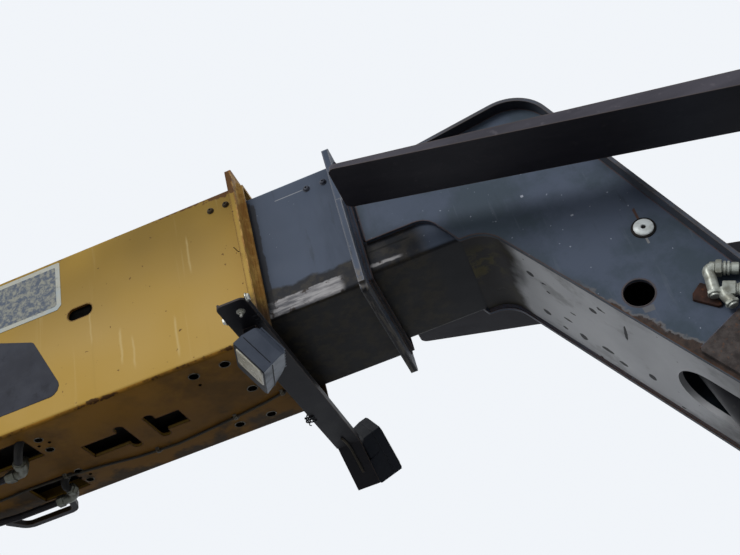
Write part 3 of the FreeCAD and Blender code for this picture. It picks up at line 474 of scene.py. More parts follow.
def flakedEdge(s):
    # Paint flaked to rust along the neck's lower edge, wider down the neck. Off is the
    # distance from that edge's line, down the way along it.
    look = greyLook
    x, z = s.less(s.x, look["neckStart"][0]), s.less(s.z, look["neckStart"][1])
    ahead, fall = look["neck"]
    off = s.plus(s.times(x, -fall), s.times(z, ahead))
    down = s.plus(s.times(x, ahead), s.times(z, fall))
    near = s.less(s.plus(off, s.wobble(0.055, 20, 5, 0.62)), s.times(s.rise(down, 0.16, 0.66), 0.024))
    onSide = s.times(s.rise(s.size(s.up), 0.3, 0.2), s.rise(down, 0.20, 0.27))
    s.cover(look["flaked"], s.rise(near, 0.006, 0.002), onSide, 0.8)
    rust = s.clouds(look["flakedRust"], look["flakedDark"], 0.4, 0.62, 60, 5, 0.6)
    s.cover(rust, s.rise(near, 0.001, -0.002), onSide, 0.95)


def greyPaint(name, strips=(), stained=0.35, greasy=True, edge=0.5, marks=(), flaked=False,
              chip=greyLook["rust"], mottled=0.0, paler=0.0, scuffed=False):
    s = Shader(name, 0.50)
    look = greyLook
    s.colour = s.clouds(look["slate"], look["pale"], 0.32, 0.68, 2.3)
    s.cover(look["dark"], s.rise(s.streaks((9, 9, 2.4), 5, 0.6, (1, 2, 3)), 0.52, 0.72), stained)
    s.cover(look["stain"], s.rise(s.streaks((34, 20, 7), 4, 0.62, (4, 4, 4)), 0.60, 0.74), stained * 0.9)
    if mottled:
        # Blue-green dirt dried in clouds and runs
        s.cover(look["cloud"], s.rise(s.noise(5.5, 6, 0.65), 0.41, 0.60), mottled)
        s.cover(look["thinRun"], s.rise(s.streaks((70, 30, 6), 4, 0.6), 0.62, 0.72), mottled * 0.35)
    if paler:
        s.cover(look["pale"], paler)
    s.cover(look["speck"], s.rise(s.noise(120, 1, 0.5), 0.76, 0.80), 0.6)
    if greasy:
        # The underside
        patches = s.times(s.rise(s.noise(6, 5, 0.6), 0.52, 0.72), 0.75)
        s.cover(s.blend(patches, look["grease"], look["olive"]), s.rise(s.up, -0.3, -0.8))
    s.bump = s.times(s.noise(220, 2), 0.10)
    padStrips(s, strips)
    sideMarks(s, marks)
    if flaked:
        flakedEdge(s)
    if scuffed:
        # Streaks rubbed through to pale brown along the lower flange
        streak = s.rise(s.streaks((90, 9, 90), 5, 0.65), 0.47, 0.58)
        s.cover(look["scuff"], s.rise(s.z, -0.140, -0.165), streak, 0.75)
    chipped = s.chips(0.006, edge, 48, 0.53, 0.64)
    s.cover(chip, chipped)
    s.hollow(chipped, 0.4)
    return s.finish(s.varied(0.36, 0.25, 14))


# The head's floor plate: pale worn undercoat, black with grease and painted shade at the bend
floorLook = {
    "pale": (0.68, 0.69, 0.71), "duller": (0.54, 0.55, 0.57), "smear": (0.10, 0.10, 0.10),
    "chip": (0.012, 0.012, 0.014), "lower": (0.045, 0.04, 0.038), "grease": (0.012, 0.010, 0.010),
    "brown": (0.040, 0.034, 0.020), "olive": (0.075, 0.062, 0.020),
    "bend": (4.72, 4.745), "lowerFrom": (-0.47, -0.60), "slope": (0.52, 0.854),
    # Chips: x, y, half lengths along and across
    "chips": [(4.721, -0.055, 0.005, 0.008), (4.7295, 0.080, 0.005, 0.009), (4.777, 0.089, 0.006, 0.010),
              (4.808, 0.079, 0.008, 0.007), (4.800, -0.059, 0.005, 0.008), (4.7595, 0.053, 0.006, 0.004),
              (4.837, -0.050, 0.002, 0.030), (4.741, -0.020, 0.003, 0.004), (4.770, 0.010, 0.004, 0.003),
              (4.752, 0.101, 0.004, 0.005), (4.826, 0.098, 0.006, 0.006), (4.862, 0.075, 0.005, 0.010)],
}


def floorPlatePaint():
    s = Shader("floor_plate_paint", 0.5)
    look = floorLook
    s.colour = s.clouds(look["pale"], look["duller"], 0.3, 0.7, 5)
    # The plate's own directions: along the slope, across it and square to it
    ahead, fall = look["slope"]
    mixed = s.tree.nodes.new("ShaderNodeCombineXYZ")
    s.put(mixed.inputs[0], s.times(s.less(s.times(s.x, ahead), s.times(s.z, fall)), 24.0))
    s.put(mixed.inputs[1], s.times(s.y, 34.0))
    s.put(mixed.inputs[2], s.plus(s.times(s.x, fall), s.times(s.z, ahead)))
    chips = s.rise(s.noise(1.0, 3, 0.55, mixed.outputs[0]), 0.685, 0.70)
    ragged = s.wobble(0.9, 70, 3)
    for x, y, long, broad in look["chips"]:
        u, v = s.times(s.less(s.x, x), 1 / long), s.times(s.less(s.y, y), 1 / broad)
        off = s.math("SQRT", s.plus(s.times(u, u), s.times(v, v)))
        chips = s.math("MAXIMUM", chips, s.rise(s.plus(off, ragged), 1.0, 0.85))
    s.cover(look["smear"], s.rise(s.noise(0.45, 4, 0.6, mixed.outputs[0]), 0.52, 0.70), 0.45)
    s.cover(look["chip"], chips)
    s.cover(look["lower"], s.rise(s.plus(s.z, s.times(s.noise(12), 0.08)), *look["lowerFrom"]), 0.75)
    # Black grease and painted shade up to the bend, with an olive patch
    brown = s.times(s.rise(s.noise(6, 5, 0.6), 0.50, 0.68), 0.75)
    patch = s.times(s.within(s.x, 4.600, 4.675, 0.02), s.within(s.y, -0.085, 0.015, 0.03),
                    s.rise(s.noise(24, 5, 0.65), 0.46, 0.60))
    grease = s.blend(s.times(patch, 0.9), s.blend(brown, look["grease"], look["brown"]), look["olive"])
    beyond = s.rise(s.plus(s.x, s.times(s.noise(9), 0.06)), *look["bend"])
    s.colour = s.blend(beyond, grease, s.colour)
    s.bump = s.times(s.noise(180, 2), 0.1)
    s.hollow(chips, 0.5)
    return s.finish(s.varied(0.4, 0.2, 10))


# Other finishes
def darkSteel(name, base, tint, roughness=0.42, pale=(0.11, 0.10, 0.115), sheened=False):
    # Rolled steel under worn black paint, paler where it is rubbed, with painted shade where it faces down.
    s = Shader(name, roughness)
    s.colour = s.blend(s.rise(s.streaks((5, 30, 30), 5, 0.6), 0.3, 0.7), base, tint)
    s.cover(pale, s.rise(s.noise(70, 3, 0.6), 0.60, 0.72), 0.5)
    # Painted shade: faces turned down darkened almost to black
    shadeAndSheenBelow = (0.014, 0.013, 0.016)
    if sheened:
        # Painted reflection: a soft pale-blue light on the tines' undersides ahead of the collars
        shadeAndSheenBelow = s.blend(s.within(s.x, 5.00, 5.12, 0.07), (0.015, 0.014, 0.018), (0.030, 0.033, 0.044))
    s.cover(shadeAndSheenBelow, s.rise(s.up, -0.4, -0.8), 0.75)
    s.cover((0.10, 0.075, 0.062), s.chips(0.005, 0.5, 55, 0.50, 0.66), 0.8)
    s.bump = s.times(s.noise(150, 4), 0.2)
    return s.finish(s.varied(roughness - 0.1, 0.28, 16))


def zinc(name, tone, dirt, metallic=0.75):
    s = Shader(name, 0.38, metallic=metallic)
    s.colour = s.clouds(tone, dirt, 0.35, 0.7, 60)
    s.bump = s.times(s.noise(300, 2), 0.1)
    return s.finish(s.varied(0.28, 0.25, 90, 3))


def rusty(name, base, dark, fresh):
    s = Shader(name, 0.75)
    s.colour = s.clouds(base, dark, 0.35, 0.66, 45, 6, 0.65)
    s.cover(fresh, s.rise(s.noise(150, 3), 0.6, 0.7), 0.6)
    s.bump = s.noise(240, 4)
    return s.finish(s.varied(0.6, 0.3, 80))


def plastic(name, base, tint, roughness=0.45, bottom=None):
    s = Shader(name, roughness)
    s.colour = s.clouds(base, tint, 0.3, 0.72, 20)
    s.cover(tuple(c * 0.55 for c in base), s.rise(s.noise(9, 5, 0.6), 0.55, 0.75), 0.5)
    if bottom:
        # Painted light: the faces turned down are painted pale, as the light falls on them
        s.cover(bottom, s.rise(s.up, -0.62, -0.74), s.rise(s.noise(26), 0.2, 0.6))
    s.bump = s.times(s.noise(320, 2), 0.15)
    return s.finish(s.varied(roughness - 0.1, 0.25, 50, 3))


def polished(name):
    s = Shader(name, 0.14, metallic=1.0)
    s.colour = s.blend(s.rise(s.streaks((3, 3, 3), 3, 0.5), 0.3, 0.7), (0.62, 0.62, 0.63), (0.50, 0.50, 0.52))
    return s.finish(s.varied(0.10, 0.12, 40, 3))


def deepBlack():
    # Near black for holes, sockets, plugs and slot flaps: painted shade along with black rubber and grease, almost
    # without a shine.
    s = Shader("deep_black", 0.9, specular=0.0)
    s.colour = s.clouds((0.002, 0.002, 0.002), (0.005, 0.005, 0.005), 0.4, 0.6, 40)
    return s.finish()


def faded(name, base, patch, deep, scale):
    # A film bleached in patches, with short scratches.
    s = Shader(name, 0.5)
    s.colour = s.clouds(base, patch, 0.40, 0.62, scale, 5, 0.6)
    s.cover(deep, s.rise(s.noise(scale * 3.1, 4, 0.65), 0.56, 0.72), 0.7)
    s.cover(patch, s.rise(s.streaks((14, 40, 90), 4, 0.7), 0.64, 0.70), 0.4)
    s.bump = s.times(s.noise(200, 2), 0.1)
    return s.finish(s.varied(0.42, 0.2, 30))


def creamLens():
    # Cream plastic with moulded flutes.
    s = Shader("lens", 0.22, specular=0.6)
    s.colour = s.clouds((0.62, 0.60, 0.50), (0.42, 0.40, 0.32), 0.35, 0.7, 30)
    s.bump = s.times(s.math("SINE", s.times(s.plus(s.y, s.times(s.z, 0.4)), 900.0)), 0.5)
    return s.finish(s.varied(0.15, 0.2, 60))


# Strips that the pads have scraped, and single marks on the sides, one of them painted shadow
midStrip = (midLow.x, 4.377, -0.1605, -0.124, -0.098)
innerStrip = (innerLow.x, 4.501, -0.125, -0.118, -0.060)
black, lightSpot = (0.010, 0.010, 0.010), (0.33, 0.35, 0.40)
# The middle section's first mark is painted shadow: a dark band down its side just ahead of the outer collar
midMarksAndShadow = [(4.225, 0.0, 0.012, 0.16, (0.016, 0.016, 0.018)), (4.315, 0.125, 0.035, 0.0012, (0.24, 0.25, 0.27))]
innerMarks = [(4.4695, -0.006, 0.005, 0.008, (0.30, 0.30, 0.30)), (4.433, -0.037, 0.003, 0.003, black),
              (4.480, -0.0875, 0.05, 0.0022, black)]
headMarks = [(4.878, -0.432, 0.010, 0.006, (0.12, 0.12, 0.125)), (4.869, -0.452, 0.003, 0.014, (0.10, 0.105, 0.12)),
             (4.9335, -0.248, 0.0026, 0.022, (0.075, 0.036, 0.020)), (4.930, -0.301, 0.0022, 0.008, (0.20, 0.20, 0.20)),
             (4.984, -0.168, 0.004, 0.002, lightSpot), (4.760, -0.105, 0.003, 0.003, lightSpot),
             (4.905, -0.035, 0.002, 0.004, lightSpot), (4.830, -0.190, 0.003, 0.002, lightSpot)]

yellow = yellowPaint()
midGrey = greyPaint("middle_paint", [midStrip], marks=midMarksAndShadow)
innerGrey = greyPaint("inner_paint", [innerStrip], marks=innerMarks)
headGrey = greyPaint("head_paint", stained=0.55, greasy=False, edge=0.62, marks=headMarks, flaked=True, paler=0.32,
                     mottled=0.8)
collarGrey = greyPaint("middle_collar_paint", stained=0.5, edge=0.74, scuffed=True, chip=(0.20, 0.20, 0.21))
plainGrey = greyPaint("carriage_paint", stained=0.4, greasy=False)
paleFloor = floorPlatePaint()
topPlateSteel = darkSteel("top_plate_paint", (0.066, 0.078, 0.102), (0.062, 0.064, 0.072), 0.5, (0.060, 0.042, 0.034))
blackPaint = darkSteel("black_paint", (0.010, 0.010, 0.013), (0.018, 0.018, 0.021), 0.4, (0.04, 0.037, 0.034))
tineSteel = darkSteel("tine_steel", (0.044, 0.042, 0.052), (0.068, 0.064, 0.078), sheened=True)
doublerSteel = rusty("doubler_steel", (0.075, 0.064, 0.060), (0.032, 0.027, 0.026), (0.11, 0.058, 0.036))
tornSteel = rusty("torn_steel", (0.050, 0.026, 0.020), (0.022, 0.014, 0.012), (0.12, 0.045, 0.020))
zincPlate = zinc("zinc", (0.46, 0.46, 0.43), (0.33, 0.32, 0.27))
brightZinc = zinc("bright_zinc", (0.66, 0.67, 0.66), (0.40, 0.40, 0.38))
greenZinc = zinc("green_zinc", (0.16, 0.165, 0.135), (0.06, 0.055, 0.04), 0.3)
paleZinc = zinc("pale_zinc", (0.40, 0.42, 0.38), (0.20, 0.20, 0.165), 0.4)
pinWhite = zinc("pin_white", (0.62, 0.66, 0.66), (0.42, 0.44, 0.42), 0.15)
brownScrew = zinc("brown_screw", (0.055, 0.040, 0.022), (0.025, 0.020, 0.014), 0.1)
greyScrew = zinc("grey_screw", (0.075, 0.080, 0.098), (0.035, 0.038, 0.05), 0.1)
dullScrew = zinc("dull_screw", (0.17, 0.155, 0.125), (0.055, 0.045, 0.030), 0.3)
polishedRod = polished("polished_rod")
padPlastic = plastic("pad_plastic", (0.55, 0.53, 0.45), (0.42, 0.40, 0.33))
# The near lamp's faces turned down are painted pale: painted light
lampGrey = plastic("lamp_plastic", (0.050, 0.060, 0.082), (0.072, 0.084, 0.110), bottom=(0.50, 0.54, 0.60))
# Painted shade: the far lamp's housing is darkened almost to black, as it lies in shadow
farLampShaded = plastic("far_lamp_shaded_plastic", (0.012, 0.014, 0.020), (0.022, 0.024, 0.030))
bezelBlack = plastic("bezel_black", (0.014, 0.015, 0.018), (0.024, 0.026, 0.030))
cableSheath = plastic("cable_sheath", (0.055, 0.050, 0.046), (0.080, 0.068, 0.050), 0.6)
blackGrime = plastic("black_grime", (0.008, 0.008, 0.009), (0.016, 0.014, 0.012), 0.6)
hoseRubber = plastic("hose_rubber", (0.018, 0.018, 0.019), (0.034, 0.032, 0.029), 0.55)
holeShadeBlack = deepBlack()
signBorder = faded("sign_border", (0.36, 0.40, 0.40), (0.42, 0.42, 0.36), (0.20, 0.20, 0.18), 22)
signField = faded("sign_field", (0.085, 0.105, 0.140), (0.26, 0.26, 0.22), (0.045, 0.058, 0.085), 85)
panelFilm = faded("panel_film", (0.021, 0.023, 0.032), (0.030, 0.033, 0.045), (0.014, 0.015, 0.021), 9)
lensGlass = creamLens()

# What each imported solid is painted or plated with
nodeLooks = [
    (yellow, "outer_section outer_collar boom_pivot_tube rear_cheeks lift_cylinder_ears slave_cylinder_ears"),
    (midGrey, "mid_section"), (collarGrey, "mid_collar"), (innerGrey, "inner_section"),
    (headGrey, "head_side_left head_side_right nose_boss"), (topPlateSteel, "head_top_plate"),
    (paleFloor, "head_floor_plate"), (doublerSteel, "nose_doublers"),
    (plainGrey, "extension_anchor mid_bulkhead coupler carriage_frame"),
    (blackPaint, "underside_guard lamp_bar lamp_bracket_right lamp_bracket_left extension_barrel coupling_bracket "
                 "feed_pipes tilt_barrel"),
    (padPlastic, "outer_front_pads mid_front_pads mid_rear_pads inner_rear_pads"),
    (polishedRod, "extension_rod tilt_rod"), (lampGrey, "lamp_right"), (farLampShaded, "lamp_left"),
    (cableSheath, "lamp_cable"), (brightZinc, "tilt_base_pin"),
    (zincPlate, "nose_pin crank_pin_caps hook_shaft lock_pin fork_shaft"), (tineSteel, "tine_left tine_right"),
]
for look, nodes in nodeLooks:
    for node in nodes.split():
        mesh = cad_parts[node].data
        mesh.materials.clear()
        mesh.materials.append(look)
print("stage 2: finishes")


# Screws of the wear pads, screws and plugs in the outer section's floor
screwLook = {
    "pad": 0.0068, "outer": [(4.143, 0.157), (4.179, 0.158)], "middle": [(4.356, 0.1235), (4.394, 0.1235)],
    "padAcross": (-0.095, 0.095),
    "floor": 0.0078, "floorPlaces": [(4.102, -0.121), (4.034, -0.120), (4.110, -0.004), (4.029, 0.112), (4.101, 0.118)],
    "small": 0.0062, "smallPlaces": [(3.680, -0.110), (3.676, -0.063), (3.670, 0.0535), (3.668, 0.104)],
    "plug": 0.0036, "plugPlaces": [(3.691, -0.088), (3.667, -0.088), (3.681, 0.084), (3.656, 0.085), (4.030, -0.084),
                                   (4.0285, 0.076)],
}


def screws():
    s = screwLook
    r = s["pad"]
    head = [(0, 0), (0, r * 1.15), (r * 0.15, r * 1.15), (r * 0.2, r), (r * 0.55, r * 0.9), (r * 0.8, r * 0.6),
            (r * 0.84, r * 0.35), (r * 0.5, r * 0.3), (r * 0.5, 0)]
    for body, high, look in (("outer", outerHigh, brownScrew), ("middle", midHigh, greyScrew)):
        places = [((x, side * high.y, z), (0, side, 0)) for x, z in s[body] for side in (-1, 1)]
        places += [((x, y, high.z), (0, 0, 1)) for x, z in s[body] for y in s["padAcross"]]
        addPiece(body + "_pad_screws", [turned(place, axis, head, 28) for place, axis in places], look, body)
    rims, sunk = [], []
    down = (0, 0, -1)
    for size, places in ((s["floor"], s["floorPlaces"]), (s["small"], s["smallPlaces"])):
        # A thin rim round a sunk head in near-black, painted shade with grease
        rim = [(0, size * 1.55), (0.0010, size * 1.5), (0.0016, size * 1.4), (0.0010, size * 1.28), (0, size * 1.25)]
        sunkHead = [(0, size * 1.28), (0.0006, size * 1.25), (0.0009, size * 0.6), (0.0030, size * 0.55),
                    (0.0034, size * 0.45), (0.0034, 0)]
        rims += [turned((x, y, outerLow.z), down, rim, 32) for x, y in places]
        sunk += [turned((x, y, outerLow.z), down, sunkHead, 32) for x, y in places]
    plug = [(0, 0), (0, s["plug"]), (0.0012, s["plug"] * 0.8), (0.0012, 0)]
    sunk += [turned((x, y, outerLow.z), down, plug, 16) for x, y in s["plugPlaces"]]
    addPiece("floor_screws", rims, dullScrew, "outer")
    addPiece("floor_screw_sockets", sunk, holeShadeBlack, "outer")


# Sign and dark panel on the outer section's side, both blank
signLook = {"x": (3.155, 3.7775), "z": (0.059, 0.188), "cut": 0.010, "border": 0.011, "fieldCut": 0.004,
            "thick": 0.0008, "fieldThick": 0.0003}
panelLook = {"corners": [(-0.424, -0.151), (-0.492, 0.0), (-0.600, 0.044), (-0.960, 0.044), (-0.900, -0.151)],
             "radii": [0.022, 0.014, 0.030, 0.020, 0.020], "thick": 0.0007}


def cutRectangle(x0, x1, z0, z1, cut):
    # A rectangle with its lower front corner cut off.
    return [(x0, z0), (x1 - cut, z0), (x1, z0 + cut), (x1, z1), (x0, z1)]


def cornered(corners, radii, steps=6):
    # Each corner replaced by an arc of its own radius.
    count = steps + 1
    return np.vstack([rounded(corners, radius, steps)[i * count:(i + 1) * count] for i, radius in enumerate(radii)])


def sideSigns():
    s, p = signLook, panelLook
    (x0, x1), (z0, z1), b = s["x"], s["z"], s["border"]
    outline = rounded(cutRectangle(x0, x1, z0, z1, s["cut"]), 0.004, 3)
    field = rounded(cutRectangle(x0 + b, x1 - b, z0 + b, z1 - b, s["fieldCut"]), 0.003, 3)
    panel = cornered(p["corners"], p["radii"]) + np.array([collarLow.x, 0])
    for name, shape, lift, thick, edge, look in (
            ("sign", outline, 0, s["thick"], 0.0003, signBorder),
            ("sign_field", field, s["thick"], s["fieldThick"], 0.0001, signField),
            ("side_panel", panel, 0, p["thick"], 0.0003, panelFilm)):
        plate = slab(shape, (0, outerLow.y - lift, 0), (1, 0, 0), (0, 0, 1), thick, edge)
        addPiece(name, [plate], look, "outer")


# Near-black flap inside the wall behind each side slot: painted shade, a dark sheet standing for the dark inside the
# slot
flapLook = {"centre": (3.820, 0.030), "half": (0.050, 0.034), "face": 0.1572, "thick": 0.0012, "bow": 0.0012}


def slotShadeFlaps():
    # Two flat grids a thickness apart, bowed inwards by the product of two parabolas.
    s = flapLook
    u, v = np.meshgrid(np.linspace(-1, 1, 13), np.linspace(-1, 1, 9), indexing="ij")
    bow = s["bow"] * (1 - u ** 2) * (1 - v ** 2)
    x, z = s["centre"][0] + s["half"][0] * u, s["centre"][1] + s["half"][1] * v
    parts = [gridMesh(np.stack([x, side * (s["face"] - inward - bow), z], -1), False)
             for side in (-1, 1) for inward in (0.0, s["thick"])]
    addPiece("slot_shade_flaps", parts, holeShadeBlack, "outer")


# Weld beads
weldLook = {
    "collar": 0.0042, "plate": 0.0038, "ear": 0.0050,
    "tube": (0.0625, 0.174),  # radius round the pivot tube, and the cheeks' outer face
    "cheek": [(-0.172, 0.1464), (-0.120, 0.188), (0.020, 0.188), (0.520, 0.090), (0.520, -0.110), (0.020, -0.188),
              (-0.120, -0.188), (-0.172, -0.1464)], "cheekSide": 0.165,
    "ears": (("lift_cylinder_ears", 0.085), ("slave_cylinder_ears", 0.046)),
    "neck": [(4.560, -0.140), (4.6743, -0.140), (5.0965, -0.834)], "neckRadius": 0.064, "neckSide": 0.138,
    "neckStart": (4.622, -0.140), "neckEnd": (5.090, -0.823),
    "joint": [(4.444, -0.058), (4.444, 0.085)], "jointSide": 0.140,
    "doubler": [(4.9235, -0.5360), (5.007, -0.4935)], "doublerSide": 0.1485,
}


def welds():
    s = weldLook
    size, ear = s["collar"], s["ear"]
    for name, x in (("collar_weld_rear", collarLow.x), ("collar_weld_front", collarHigh.x)):
        path = [(x, outerLow.y, collarLow.z), (x, outerLow.y, outerHigh.z), (x, outerHigh.y, outerHigh.z),
                (x, outerHigh.y, collarLow.z)]
        addPiece(name, [weldBead(path, size)], yellow, "outer")
    for name, x in (("middle_collar_weld_rear", ringLow.x), ("middle_collar_weld_front", ringHigh.x)):
        path = [(x, midLow.y, midLow.z), (x, midLow.y, midHigh.z), (x, midHigh.y, midHigh.z),
                (x, midHigh.y, midLow.z), (x, midLow.y, midLow.z)]
        addPiece(name, [weldBead(path, size * 0.85)], midGrey, "middle")
    # Rear cheeks, pivot tube and ears
    beads = []
    angle = np.linspace(0, 2 * math.pi, 60)
    radius, face = s["tube"]
    for side in (-1, 1):
        ring = np.stack([radius * np.cos(angle), np.full(60, side * face), radius * np.sin(angle)], 1)
        beads += [weldBead(ring, ear), weldBead([(x, side * s["cheekSide"], z) for x, z in s["cheek"]], ear)]
    addPiece("rear_welds", beads, yellow, "outer")
    beads = []
    for node, half in s["ears"]:
        low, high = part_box(node)
        for y in (-half, half):
            beads.append(weldBead([(low.x + 0.002, y, -0.2), (high.x - 0.002, y, -0.2)], ear))
    addPiece("ear_welds", beads, yellow, "outer")
    # The floor plate of the head to its sides, the sides to the inner section, the doublers
    beads = []
    bend = rounded(s["neck"], s["neckRadius"], 8)[9:18]
    for side in (-1, 1):
        for path, y, share in (([s["neckStart"], *bend, s["neckEnd"]], s["neckSide"], 1.0),
                               (s["joint"], s["jointSide"], 1.0), (s["doubler"], s["doublerSide"], 0.8)):
            beads.append(weldBead([(x, side * y, z) for x, z in path], s["plate"] * share))
    addPiece("head_welds", beads, headGrey, "inner")


# Work lamps: lens, dark bezel, parting line and cooling ribs. Each has its own corner and
# three directions. Facing is -1 for a lens to the rear, 1 for one ahead.
lampLook = {
    "near": {"origin": (4.2243, -0.2681, -0.350), "depth": (0.829, 0.127, 0.545), "wide": (-0.303, 0.922, 0.242),
             "high": (-0.472, -0.366, 0.802), "lens": (0.003, 0.070, 0.006, 0.080), "lensDepth": 0.0,
             "facing": -1, "line": 0.020, "ribs": 7, "lineLook": bezelBlack},
    "far": {"origin": (4.2275, 0.342, -0.2185), "depth": (0.906, 0.182, 0.382), "wide": (0.064, 0.837, -0.543),
            "high": (-0.416, 0.517, 0.748), "lens": (0.006, 0.072, 0.008, 0.119), "lensDepth": 0.057,
            "facing": 1, "line": 0.037, "ribs": 0, "lineLook": farLampShaded},
    "size": (0.057, 0.127, 0.078), "rib": 0.0022, "inset": 0.0005,
    "gland": [(0, 0), (0, 0.0085), (0.003, 0.0085), (0.0035, 0.007), (0.009, 0.007), (0.0105, 0.005), (0.0105, 0)],
}


def lampDetails(name):
    s = lampLook[name]
    origin, depth, wide, high = (np.array(s[key]) for key in ("origin", "depth", "wide", "high"))
    deep, width, height = lampLook["size"]
    facing, inset = s["facing"], lampLook["inset"]
    face = origin + depth * s["lensDepth"]

    def plate(low, up, left, right, radius, thick, edge, lift):
        # Faces point outwards: a rear lens runs on height and width, a front one on width and height
        corners = [(low, left), (up, left), (up, right), (low, right)]
        u, v = high, wide
        if facing > 0:
            corners, u, v = [(c, a) for a, c in corners], wide, high
        return slab(rounded(corners, radius, 5), face + depth * facing * lift, u, v, thick, edge)

    bezel = plate(inset, height - inset, inset, width - inset, 0.006, 0.0016, 0.0008, 0)
    addPiece(name + "_lamp_bezel", [bezel], bezelBlack, "outer")
    addPiece(name + "_lamp_lens", [plate(*s["lens"], 0.007, 0.0024, 0.0014, 0.0014)], lensGlass, "outer")
    ring = rounded([(0, 0), (width, 0), (width, height), (0, height)], 0.008, 5)
    loop = origin + depth * s["line"] + np.outer(ring[:, 0], wide) + np.outer(ring[:, 1], high)
    parting = carried(straightPath(np.vstack([loop, loop[:1]]), 0.004), 0.0009, 6)
    addPiece(name + "_lamp_parting", [parting], s["lineLook"], "outer")
    # Ribs across the housing's back, and the cable's gland
    back = origin + depth * (deep if facing < 0 else 0)
    parts = []
    for share in np.linspace(0.14, 0.86, s["ribs"]):
        start = back + wide * width * share + high * height * 0.12
        path = straightPath([start, start + high * height * 0.76], 0.004) - depth * facing * 0.0006
        parts.append(carried(path, lampLook["rib"], 8))
    parts.append(turned(back + wide * width * 0.5 + high * height * 0.5, depth * -facing, lampLook["gland"]))
    addPiece(name + "_lamp_ribs", parts, lampGrey, "outer")


def farLampShell():
    # Lower shell that squares off the far lamp's housing towards its bracket.
    s = lampLook["far"]
    deep, width, height = lampLook["size"]
    outline = rounded([(-0.005, 0.060), (deep, 0.050), (deep, width), (-0.005, width)], 0.004, 4)
    base = np.array(s["origin"]) + np.array(s["high"]) * 0.001
    # The shell carries the far lamp's painted shade
    addPiece("far_lamp_shell", [slab(outline, base, s["depth"], s["wide"], 0.005, 0.001)], farLampShaded, "outer")


# Fittings of the lamp bar: bolts, ties, and a bent wire left hanging from the collar
barLook = {
    "wire": [(4.199, -0.2265, -0.019), (4.1975, -0.193, -0.005), (4.199, -0.168, 0.024), (4.1985, -0.144, 0.019)],
    "bolts": [((barHigh.x, -0.310, -0.214), (1, 0, 0), 0.0065), ((barLow.x, -0.270, -0.216), (-1, 0, 0), 0.0065),
              ((barHigh.x, 0.405, -0.214), (1, 0, 0), 0.0065), ((4.2096, -0.289, -0.222), (0, 0, -1), 0.0062),
              ((4.211, 0.382, -0.222), (0, 0, -1), 0.0062)],
    "stud": (4.2096, -0.289, -0.222),
    # Ties round the rear lip: y, how far the tail drops, how far it leans
    "ties": [(0.150, 0.008, 0.003), (0.160, 0.011, -0.002), (0.171, 0.006, 0.003)],
    "frontTies": (-0.272, -0.259, -0.246),
}


def barFittings():
    s = barLook
    addPiece("collar_wire", [carried(smoothPath(s["wire"], 0.002), 0.0009, 6)], blackGrime, "outer")
    parts = [part for place, axis, size in s["bolts"] for part in hexHead(place, axis, size)]
    parts.append(turned(s["stud"], (-0.1, 0, -1), [(0, 0), (0, 0.0032), (0.0105, 0.0032), (0.0125, 0.0022),
                                                   (0.0125, 0)], 16))
    addPiece("bar_bolts", parts, zincPlate, "outer")
    ties = []
    for y, drop, lean in s["ties"]:
        band = [(4.171, y, -0.214), (4.168, y, -0.2225), (4.176, y + lean / 2, -0.2245), (4.183, y + lean, -0.2235)]
        tail = [(4.170, y, -0.2215), (4.166, y + lean, -0.2235), (4.163, y + lean * 2, -0.222 - drop * 0.6),
                (4.167, y + lean * 3, -0.222 - drop)]
        ties += [carried(smoothPath(band, 0.001), 0.0016, 6), carried(smoothPath(tail, 0.001), 0.0011, 6),
                 turned((4.1665, y, -0.2215), (-0.6, 0, -0.8), [(0, 0), (0, 0.0032), (0.004, 0.0030), (0.004, 0)],
                        4, 0.8)]
    for y in s["frontTies"]:
        band = [(4.233, y, -0.216), (4.2345, y + 0.002, -0.2225), (4.229, y + 0.006, -0.226),
                (4.222, y + 0.008, -0.2225)]
        ties.append(carried(smoothPath(band, 0.001), 0.0012, 6))
    addPiece("cable_ties", ties, bezelBlack, "outer")


